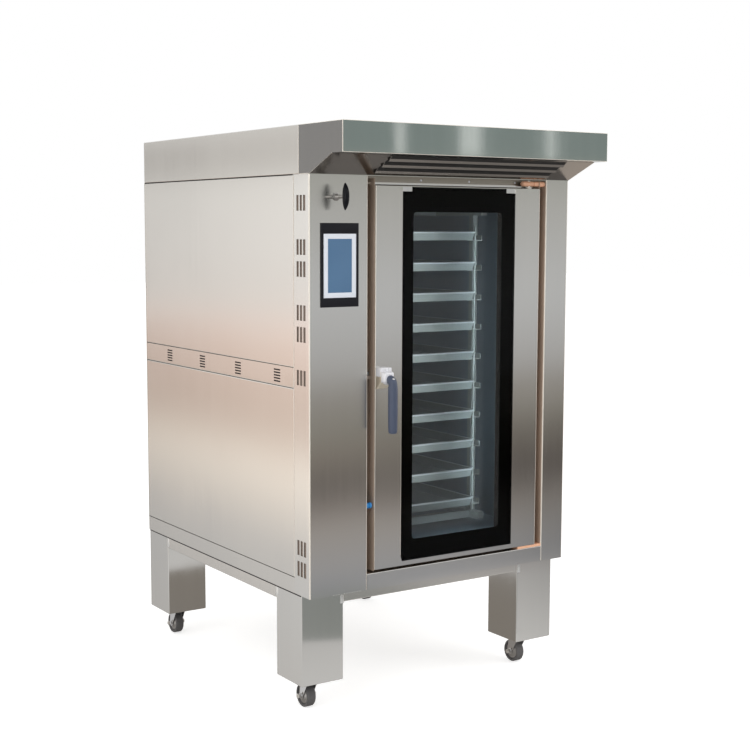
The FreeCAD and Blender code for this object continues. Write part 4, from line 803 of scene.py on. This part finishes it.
# ---------------- door handle
GRIP_BEND = 0.018
GRIP_TUBE = 0.0136
GRIP_PLAY = 0.0014
GRIP_SIDES = 28
GRIP_SWELL = ((0.004, 1.07), (0.030, 1.02), (0.050, 1.0), (0.036, 0.96), (0.018, 0.97), (0.005, 0.93),
              (0.0025, 0.84), (0.001, 0.7))
NECK_PROFILE = ((0.0, 0.0165), (0.002, 0.0185), (0.0075, 0.0185), (0.0115, 0.0172), (0.0145, 0.0150))
NECK_GAP = 0.0004
HEAD_LOW = Vector((-0.022, -0.022, -0.012))
HEAD_HIGH = Vector((0.016, -0.0008, 0.024))
HEAD_MIDDLE = Vector((0.004, -0.022, 0.006))
HEAD_TAPER = (0.86, 1, 0.84)
HEAD_EASE = 0.0045
CAP_TALL = 0.028
CAP_PROUD = 0.0006
CAP_EASE = 0.003
ESCUTCHEON_EASE = 0.002


def grip_start():
    """The middle of the grip across and the height at which its tube leaves the neck."""
    low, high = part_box("handle_grip")
    return (low.x + high.x) / 2, high.z - GRIP_TUBE - GRIP_PLAY


def handle_grip():
    """Moulded grip: a tube bent from the neck downwards, swelling along its length, with a rounded foot."""
    low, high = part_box("handle_grip")
    x, z = grip_start()
    front = low.y + GRIP_TUBE + GRIP_PLAY
    bend_y = front + GRIP_BEND
    piece = start_ring((x, high.y, z), (0, -1, 0), GRIP_TUBE, GRIP_SIDES)
    grow((0, bend_y - high.y, 0))
    bpy.ops.mesh.spin(steps=9, angle=math.radians(90), center=(x, bend_y, z - GRIP_BEND), axis=(-1, 0, 0))
    place = Vector((x, front, z - GRIP_BEND))
    for drop, share in GRIP_SWELL:
        place.z -= drop
        grow((0, 0, -drop), share, place)
    bpy.ops.mesh.edge_face_add()
    set_mode("OBJECT")
    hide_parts("handle_grip")
    settle(piece, "grip_sleeve", "door_handle", GRIP, smooth=60)


def handle_neck():
    """Cast lever head over the escutcheon's top corner, from which the grip turns down."""
    x, z = grip_start()
    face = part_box("handle_base")[0].y
    neck = turned((x, face - NECK_GAP, z), (0, -1, 0), NECK_PROFILE, GRIP_SIDES)
    start = Vector((x, face, z))
    head = block(start + HEAD_LOW, start + HEAD_HIGH)
    edit_pick(head, "VERT", lambda corner: corner.co.y < face + HEAD_LOW.y / 2)
    bpy.ops.transform.resize(value=HEAD_TAPER, center_override=start + HEAD_MIDDLE)
    set_mode("OBJECT")
    round_edges(head, HEAD_EASE, 4)
    settle(joined([neck, head]), "lever_head", "door_handle", CASTING, smooth=50)


def escutcheon():
    """Folded escutcheon with softened corners in place of the plain block, and the cap over its top."""
    ease_node("handle_base", ESCUTCHEON_EASE, 3, "escutcheon", "door", ESCUTCHEON)
    low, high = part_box("handle_base")
    cap = eased_block((low.x - CAP_PROUD, low.y - NECK_GAP, high.z - CAP_TALL),
                      (high.x + CAP_PROUD, high.y - 0.001, high.z + CAP_PROUD), CAP_EASE, 3)
    settle(cap, "escutcheon_cap", "door", CASTING)


# ---------------- control column
BAR_TIP = 0.0016
BAR_SWELL = 0.0088
BAR_BOW = 0.004
BAR_SETBACK = 0.011
BAR_ROUNDS = 14
BAR_FULLNESS = 2.6
STEM_GAP = 0.0005
STEM_PROFILE = ((0.0, 0.0125), (0.0012, 0.0125), (0.0022, 0.0085), (0.012, 0.0062), (0.032, 0.0056),
                (0.042, 0.0066))
STEM_END = 0.0078
ROD_RADIUS = 0.004
SURROUND = 0.015
SURROUND_EASE = 0.0004
PICTURE_DEEP = 0.0009
PICTURE_RIM = 0.0008
BEZEL_EASE = 0.0016


def damper_bar():
    """Bowed bar knob on a flared stem, with its rod back to the flap."""
    low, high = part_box("damper_handle")
    x, z = (low.x + high.x) / 2, (low.z + high.z) / 2
    half = (high.z - low.z) / 2 - 0.0004
    middle_y = low.y + BAR_SETBACK
    rings = []
    for step in range(BAR_ROUNDS + 1):
        share = 2 * step / BAR_ROUNDS - 1
        place = Vector((x, middle_y + BAR_BOW * share * share, z + half * share))
        rings.append((place, BAR_TIP + BAR_SWELL * (1 - abs(share) ** BAR_FULLNESS)))
    bar = drawn(rings, (0, 0, 1), 20)
    settle(bar, "damper_bar", "damper", KNOB, smooth=60)
    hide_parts("damper_handle")
    foot = FRONT_FACE - STEM_GAP
    stem = turned((x, foot, z), (0, -1, 0), STEM_PROFILE + ((foot - middle_y, STEM_END),))
    settle(stem, "damper_stem", "damper", ZINC, smooth=50)
    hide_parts("damper_handle")
    flap_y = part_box("damper_flap")[0].y
    rod = turned((x, FRONT_FACE - 0.001, z), (0, 1, 0),
                 [(0.0, ROD_RADIUS - 0.0002), (0.001, ROD_RADIUS), (flap_y - FRONT_FACE, ROD_RADIUS),
                  (high.y - FRONT_FACE + 0.001, ROD_RADIUS)], 12)
    settle(rod, "damper_rod", "damper", STEEL_INSIDE)
    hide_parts("damper_handle")


def faces_front(face):
    return face.normal.y < -0.9


def control_screen():
    """White surround with the picture set back in it, and a bezel with eased edges."""
    low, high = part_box("screen_display")
    surround = block(low, high)
    edit_pick(surround, "FACE", faces_front)
    bpy.ops.mesh.inset(thickness=SURROUND, depth=0)
    grow((0, PICTURE_DEEP, 0))
    set_mode("OBJECT")
    round_edges(surround, SURROUND_EASE)
    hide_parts("screen_display")
    settle(surround, "screen_surround", "cabinet", WHITE_FRAME)
    inset = Vector((SURROUND, 0, SURROUND))
    picture = block(low + inset + Vector((0, PICTURE_DEEP / 3, 0)), high - inset)
    edit_pick(picture, "FACE", faces_front)
    bpy.ops.mesh.inset(thickness=PICTURE_RIM, depth=0.0001)
    set_mode("OBJECT")
    settle(picture, "screen_picture", "cabinet", PICTURE)
    ease_node("screen_bezel", BEZEL_EASE, 3, "screen_bezel_eased", "cabinet", BEZEL)


# ---------------- strips, rivets and screws
STRIP_PROUD = 0.0012
STRIP_SUNK = 0.0004
STRIP_EASE = 0.0005
STRIP_SHORT = 0.004
STRIP_BACK = 0.003
POST_DEEP = 0.052
RIVET_RADIUS = 0.0036
RIVET_TALL = 0.0016
RIVET_DOWN = 0.0755
RIVET_ASIDE = 0.0428
RIVET_PITCH = 0.153
RIVET_ROWS = (1, 2, 3, 4, 5, 7)
HAIR = 0.0003
END_GAP = 0.002
EDGE_BEFORE = 0.0014
EDGE_BEHIND = 0.0008
BAND_SEAM_DOWN = 0.0016
BAND_SEAM_UP = 0.0010
PLUG_BACK = 0.010
PLUG_PROFILE = ((-0.001, 0.0086), (0.006, 0.0092), (0.0075, 0.0072), (0.0105, 0.0072), (0.0115, 0.0096),
                (0.0185, 0.0090), (0.0198, 0.0068))
RECESS_BACK = 0.0034
RECESS_THICK = 0.0008
RECESS_DEEP = 0.086
RECESS_EASE = 0.0002
HEADER_SCREWS = 4


def repeated(piece, shifts):
    """A piece joined with a twin at each shift."""
    return joined([piece] + [twin(piece, shift) for shift in shifts])


def round_head(centre, axis, radius, height, sides=16):
    """A domed screw or rivet head."""
    return turned(centre, axis, [(0.0, radius), (height * 0.35, radius), (height * 0.75, radius * 0.78),
                                 (height, radius * 0.36)], sides)


def pair(piece, across):
    """A piece joined with its twin further along x."""
    return repeated(piece, [(across, 0, 0)])


def door_edges():
    """Edge strips down the door's sides."""
    low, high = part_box("door_frame")
    for name, inner, outer in (("left", low.x - STRIP_PROUD, low.x + STRIP_SUNK),
                               ("right", high.x - STRIP_SUNK, high.x + STRIP_PROUD)):
        strip = eased_block((inner, low.y + 0.0045, low.z + STRIP_SHORT),
                            (outer, high.y - 0.001, high.z - STRIP_SHORT), STRIP_EASE)
        settle(strip, "door_edge_" + name, "door", STEEL_EDGE)


def post_edge():
    """Edge strip on the right post beside the door."""
    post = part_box("right_column")[0]
    door_low, door_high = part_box("door_frame")
    strip = eased_block((post.x - STRIP_PROUD, post.y + STRIP_BACK, door_low.z + END_GAP),
                        (post.x + STRIP_SUNK, post.y + POST_DEEP, door_high.z), STRIP_EASE)
    settle(strip, "post_edge_right", "cabinet", STEEL_EDGE)


def frame_rivets():
    """Rivets down the chamber's front plate, which show when the door stands open."""
    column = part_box("control_column")[1]
    top = (column.x + RIVET_ASIDE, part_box("front_frame")[0].y + 0.0002, column.z - RIVET_DOWN)
    rivet = round_head(top, (0, -1, 0), RIVET_RADIUS, RIVET_TALL)
    rivets = repeated(rivet, [(0, 0, -RIVET_PITCH * row) for row in RIVET_ROWS])
    settle(rivets, "frame_rivets", "cabinet", CASTING, smooth=50)


def band_edge_highlights():
    """Painted highlights: bright upright edge strips where the roof band meets the hood."""
    low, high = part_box("roof_band")
    edge = eased_block((low.x - HAIR, low.y - EDGE_BEFORE, low.z + END_GAP),
                       (low.x + 4 * HAIR, low.y + EDGE_BEHIND, high.z - END_GAP), HAIR)
    settle(pair(edge, high.x - low.x - 3 * HAIR), "band_edge_highlights", "cabinet", BEND_HIGHLIGHT)


def panel_edge_highlights():
    """Painted highlights as bright strips on the front edges of the side panels, and the dark seam between
    them and the roof band.
    """
    low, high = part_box("side_panels_left")
    band_low, band_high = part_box("roof_band")
    across = band_high.x - band_low.x
    edge = eased_block((low.x - HAIR, low.y - STRIP_SUNK, low.z + END_GAP),
                       (low.x + EDGE_BEHIND, low.y + EDGE_BEFORE, high.z - END_GAP), HAIR)
    settle(pair(edge, across - EDGE_BEHIND + HAIR), "panel_edge_highlights", "cabinet", BEND_HIGHLIGHT)
    seam = eased_block((band_low.x - 0.0002, low.y + STRIP_SHORT, band_low.z - BAND_SEAM_DOWN),
                       (band_low.x + 0.0012, high.y - STRIP_SHORT, band_low.z + BAND_SEAM_UP), HAIR, 1)
    settle(pair(seam, across - 0.001), "band_seam", "cabinet", SEALANT_AND_SHADE)


def hose_plug():
    """Push-in plug on the column's inner edge, beside the hose fitting behind the door."""
    column_low, column_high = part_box("control_column")
    fitting_low, fitting_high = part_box("hose_fitting")
    centre = (column_high.x, column_low.y + PLUG_BACK, (fitting_low.z + fitting_high.z) / 2)
    plug = turned(centre, (1, 0, 0), PLUG_PROFILE, 20)
    settle(plug, "hose_plug", "cabinet", BLUE, smooth=40)


def vent_recesses():
    """Sheets behind the slots of the column and of the vent strip, which close them to view; their colours
    paint the shade seen through the slots, brown-grey in the column and near black in the strip.
    """
    column_low, column_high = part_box("control_column")
    strip_low, strip_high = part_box("vent_strip_left")
    for name, low, high, back_y, skin in (
            ("column_vent_recess", column_low, column_high, column_low.y + RECESS_DEEP, VENT_SHADE),
            ("strip_vent_recess", strip_low, strip_high, strip_high.y - STRIP_SHORT, SEALANT_AND_SHADE)):
        left = low.x + RECESS_BACK
        sheet = eased_block((left, low.y + STRIP_SHORT, low.z + STRIP_SHORT),
                            (left + RECESS_THICK, back_y, high.z - STRIP_SHORT), RECESS_EASE, 1)
        settle(sheet, name, "cabinet", skin)


def header_screws():
    """Domed screws in place of the plain heads."""
    low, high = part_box("panel_screws")
    radius = (high.z - low.z) / 2
    head = round_head((low.x + radius, high.y, low.z + radius), (0, -1, 0), radius, high.y - low.y, 20)
    pitch = (high.x - low.x - 2 * radius) / (HEADER_SCREWS - 1)
    heads = repeated(head, [(pitch * step, 0, 0) for step in range(1, HEADER_SCREWS)])
    settle(heads, "header_screws", "cabinet", CASTING, smooth=50)
    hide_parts("panel_screws")


# ---------------- trays
TRAY_ROWS = 10
TRAY_STEP = 0.1
TRAY_CORNER = 0.008
RIM_WIRE = 0.0028


def tray_rims():
    """The wired edge of each tray: a rounded rectangle swept with a round bead."""
    low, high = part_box("baking_trays")
    middle = (low + high) / 2
    deselect()
    bpy.ops.mesh.primitive_plane_add(size=1, location=(middle.x, middle.y, high.z - RIM_WIRE * 0.6))
    ring = active()
    ring.scale = (high.x - low.x - 2 * RIM_WIRE, high.y - low.y - 2 * RIM_WIRE, 1)
    apply_place()
    set_mode("EDIT")
    select_whole()
    bpy.ops.mesh.bevel(offset=TRAY_CORNER, segments=3, affect="VERTICES")
    select_whole()
    bpy.ops.mesh.delete(type="ONLY_FACE")
    set_mode("OBJECT")
    bpy.ops.object.convert(target="CURVE")
    ring = active()
    ring.data.bevel_depth = RIM_WIRE
    ring.data.bevel_resolution = 1
    bpy.ops.object.convert(target="MESH")
    rims = repeated(active(), [(0, 0, -TRAY_STEP * row) for row in range(1, TRAY_ROWS)])
    settle(rims, "tray_rims", "rack", TRAY_RIM, smooth=60)


# ---------------- glass border
WINDOW_CORNER = 0.012
BORDER_LEAST = 0.01
SAME_PLACE = 1e-5


def window_border():
    """The printed border with rounded corners at the window."""
    low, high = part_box("glass_border")
    middle, reach = (low + high) / 2, (high - low) / 2
    piece = merged_copy("glass_border")

    def window_corner(edge):
        start, end = (piece.data.vertices[i].co for i in edge.vertices)
        through = abs(start.x - end.x) < SAME_PLACE and abs(start.z - end.z) < SAME_PLACE
        inside = abs(start.x - middle.x) < reach.x - BORDER_LEAST
        return through and inside and abs(start.z - middle.z) < reach.z - BORDER_LEAST

    edit_pick(piece, "EDGE", window_corner)
    bpy.ops.mesh.bevel(offset=WINDOW_CORNER, segments=5)
    set_mode("OBJECT")
    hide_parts("glass_border")
    settle(piece, "window_border", "door", PRINT)


# ---------------- casters
CASTERS = ("fl", "fr", "rl", "rr")
TYRE_DEEP = 0.0115
DISC_LIP = 0.002
FORK_EASE = 0.0007
NUT_PROFILE = ((-0.0035, 0.0082), (0.0, 0.0082), (0.0008, 0.0072), (0.0008, 0.0045), (0.0024, 0.0042))


def wheel_fittings():
    """Wheel discs, axle nuts and eased forks of the four casters."""
    for corner in CASTERS:
        low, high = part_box("caster_wheel_" + corner)
        centre = (low + high) / 2
        radius = (high.z - low.z) / 2
        half = (high.x - low.x) / 2 - 0.001
        rim = radius - TYRE_DEEP
        profile = [(half * 0.55, rim), (half * 0.70, rim), (half * 0.76, rim - DISC_LIP),
                   (half * 0.72, radius * 0.55), (half * 0.80, radius * 0.50), (half * 0.98, radius * 0.34),
                   (half * 1.02, radius * 0.20)]
        discs = [turned(centre, (side, 0, 0), profile, 32) for side in (-1, 1)]
        settle(joined(discs), "wheel_discs_" + corner, "wheel_" + corner, ZINC, smooth=40)
        fork_low, fork_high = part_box("caster_fork_" + corner)
        nuts = [turned((side_x, centre.y, centre.z), (side, 0, 0), NUT_PROFILE, 6)
                for side, side_x in ((-1, fork_low.x), (1, fork_high.x))]
        settle(joined(nuts), "axle_nuts_" + corner, "caster_" + corner, WELD, smooth=25)
        ease_node("caster_fork_" + corner, FORK_EASE, 2, "fork_eased_" + corner, "caster_" + corner,
                  CHROME, 50)


# ---------------- stand and base
LEG_WIDE = 0.150
LEG_DEEP = 0.156
# Size of the dark strip that paints the shadow under the base tray.
SHADOW_LINE_INSET = 0.0004
SHADOW_LINE_WIDE = 0.003
SHADOW_LINE_TOP = 0.0002
SHADOW_LINE_TALL = 0.0034
SHADOW_LINE_EASE = 0.0008
RAIL_BEAD = 0.0034
SIDE_BEAD = 0.0042
BASE_BEAD = 0.0030
BEAD_PITCH = 0.006
BASE_PITCH = 0.009
BASE_WELD = (0.085, 0.180)
SPOT_PROUD = 0.0005
SPOT_SUNK = 0.001
SPOT_EASE = 0.0004
SIDE_SPOT = (-0.010, 0.006)
FRONT_SPOT = (-0.011, 0.002)
FRONT_SPOT_SHIFT = 0.012


def base_shadow_line():
    """Painted shadow: a dark line between the base tray and the stand, down both sides."""
    base_low, base_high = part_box("base_tray")
    rails_low, rails_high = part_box("stand_rails")
    left, top = base_low.x + SHADOW_LINE_INSET, rails_high.z - SHADOW_LINE_TOP
    seam = eased_block((left, rails_low.y + STRIP_SHORT, top - SHADOW_LINE_TALL),
                       (left + SHADOW_LINE_WIDE, rails_high.y - STRIP_SHORT, top), SHADOW_LINE_EASE)
    across = base_high.x - base_low.x - 2 * SHADOW_LINE_INSET - SHADOW_LINE_WIDE
    settle(pair(seam, across), "base_shadow_line", "cabinet", SEALANT_AND_SHADE)


def weld_run(start, end, bead, pitch=BEAD_PITCH):
    """A run of flat beads between two points."""
    start, end = Vector(start), Vector(end)
    deselect()
    bpy.ops.mesh.primitive_ico_sphere_add(subdivisions=1, radius=bead, location=start)
    first = active()
    first.scale = (0.8, 0.8, 0.55)
    apply_place()
    count = max(2, int((end - start).length / pitch))
    step = (end - start) / count
    return repeated(first, [step * place for place in range(1, count + 1)])


def stand_welds():
    """Ground welds where the rails meet the legs and along the front of the base."""
    legs_low, legs_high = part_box("stand_legs")
    rails_low, rails_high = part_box("stand_rails")
    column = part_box("control_column")[0]
    foot, top = rails_low.z + STRIP_BACK, rails_high.z - STRIP_SHORT
    inner_x, front_y = legs_low.x + LEG_WIDE, legs_low.y + 0.001
    outer_x = legs_low.x + 0.0008
    runs = [weld_run((x, front_y, foot), (x, front_y, top), RAIL_BEAD) for x in (inner_x, -inner_x)]
    for x in (outer_x, -outer_x):
        for y in (legs_low.y + LEG_DEEP, legs_high.y - LEG_DEEP):
            runs.append(weld_run((x, y, foot), (x, y, top), SIDE_BEAD))
    start, end = ((column.x + along, column.y + 0.0015, column.z + 0.0005) for along in BASE_WELD)
    runs.append(weld_run(start, end, BASE_BEAD, BASE_PITCH))
    settle(joined(runs), "stand_welds", "cabinet", WELD, smooth=60)


def ground_spots():
    """Ground spots over the welds of rails and legs, a little proud of the sheet."""
    legs_low, legs_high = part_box("stand_legs")
    rails_low, rails_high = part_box("stand_rails")
    foot, top = rails_low.z + STRIP_SHORT, rails_high.z - STRIP_SHORT
    spots = []
    for y in (legs_low.y + LEG_DEEP, legs_high.y - LEG_DEEP):
        spot = eased_block((legs_low.x - SPOT_PROUD, y + SIDE_SPOT[0], foot),
                           (legs_low.x + SPOT_SUNK, y + SIDE_SPOT[1], top), SPOT_EASE, 1)
        spots.append(pair(spot, legs_high.x - legs_low.x + SPOT_PROUD - SPOT_SUNK))
    inner_x = legs_low.x + LEG_WIDE
    spot = eased_block((inner_x + FRONT_SPOT[0], legs_low.y - SPOT_PROUD, rails_low.z - STRIP_SHORT),
                       (inner_x + FRONT_SPOT[1], legs_low.y + SPOT_SUNK, rails_high.z - 0.006), SPOT_EASE, 1)
    spots.append(pair(spot, FRONT_SPOT_SHIFT - 2 * inner_x))
    settle(joined(spots), "ground_spots", "cabinet", GROUND_SPOT, smooth=60)


# ---------------- hood louvres
LOUVER_COUNT = 3
LOUVER_FIRST = 0.028
LOUVER_WIDE = 0.020
LOUVER_PITCH = 0.040
LOUVER_LONG = 0.675
LOUVER_SHIFT = 0.0495
LOUVER_LIFT = 0.007
LINE_WIDE = 0.0160
SLOPE_WIDE = 0.0095
HOOD_FOOT = (0, -0.49, 1.665)


def louver_shadows():
    """Painted shade in the pressed louvres: a dark line and a slope at each root, and a dark wedge at each
    end where the louvre stands open.
    """
    low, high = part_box("hood_louver_panel")
    angle = math.atan2(high.z - low.z, high.y - low.y)
    left, right = LOUVER_SHIFT - LOUVER_LONG / 2, LOUVER_SHIFT + LOUVER_LONG / 2
    pieces = []
    for row in range(LOUVER_COUNT):
        root = -LOUVER_FIRST - LOUVER_WIDE - LOUVER_PITCH * row
        line = eased_block((left, root - LINE_WIDE, -0.0008), (right, root - 0.0005, 0.0002), HAIR, 1)
        pieces.append(line)
        slope = block((left + 0.002, root + 0.0002, -0.0010), (right - 0.002, root + SLOPE_WIDE, 0.0004))
        move_corners(slope, lambda corner: corner.co.y > root + SLOPE_WIDE / 2,
                     (0, 0, -LOUVER_LIFT * SLOPE_WIDE / LOUVER_WIDE))
        pieces.append(slope)
        for end in (left, right):
            wedge = block((end - 0.0012, root + 0.001, -LOUVER_LIFT * 0.9),
                          (end + 0.0012, root + LOUVER_WIDE, 0.0))
            move_corners(wedge, lambda corner: corner.co.y < root + 0.002 and corner.co.z < -0.001,
                         (0, 0, LOUVER_LIFT * 0.8))
            pieces.append(wedge)
    shadows = joined(pieces)
    shadows.data.transform(Matrix.Translation(HOOD_FOOT) @ Matrix.Rotation(angle, 4, (-1, 0, 0)))
    settle(shadows, "louver_shadows", "cabinet", SEALANT_AND_SHADE)


# ---------------- the whole scene
FINER_PIECES = (handle_grip, handle_neck, escutcheon, damper_bar, control_screen, door_edges, post_edge,
                frame_rivets, band_edge_highlights, panel_edge_highlights, hose_plug, vent_recesses, header_screws, tray_rims,
                window_border, wheel_fittings, base_shadow_line, stand_welds, ground_spots, louver_shadows)

set_camera()
set_studio()
finish_nodes()
for (carrier, finish_slot), sheets in FOLDED.items():
    for sheet in sheets:
        fold_sheet(sheet, carrier)
for make in FINER_PIECES:
    make()
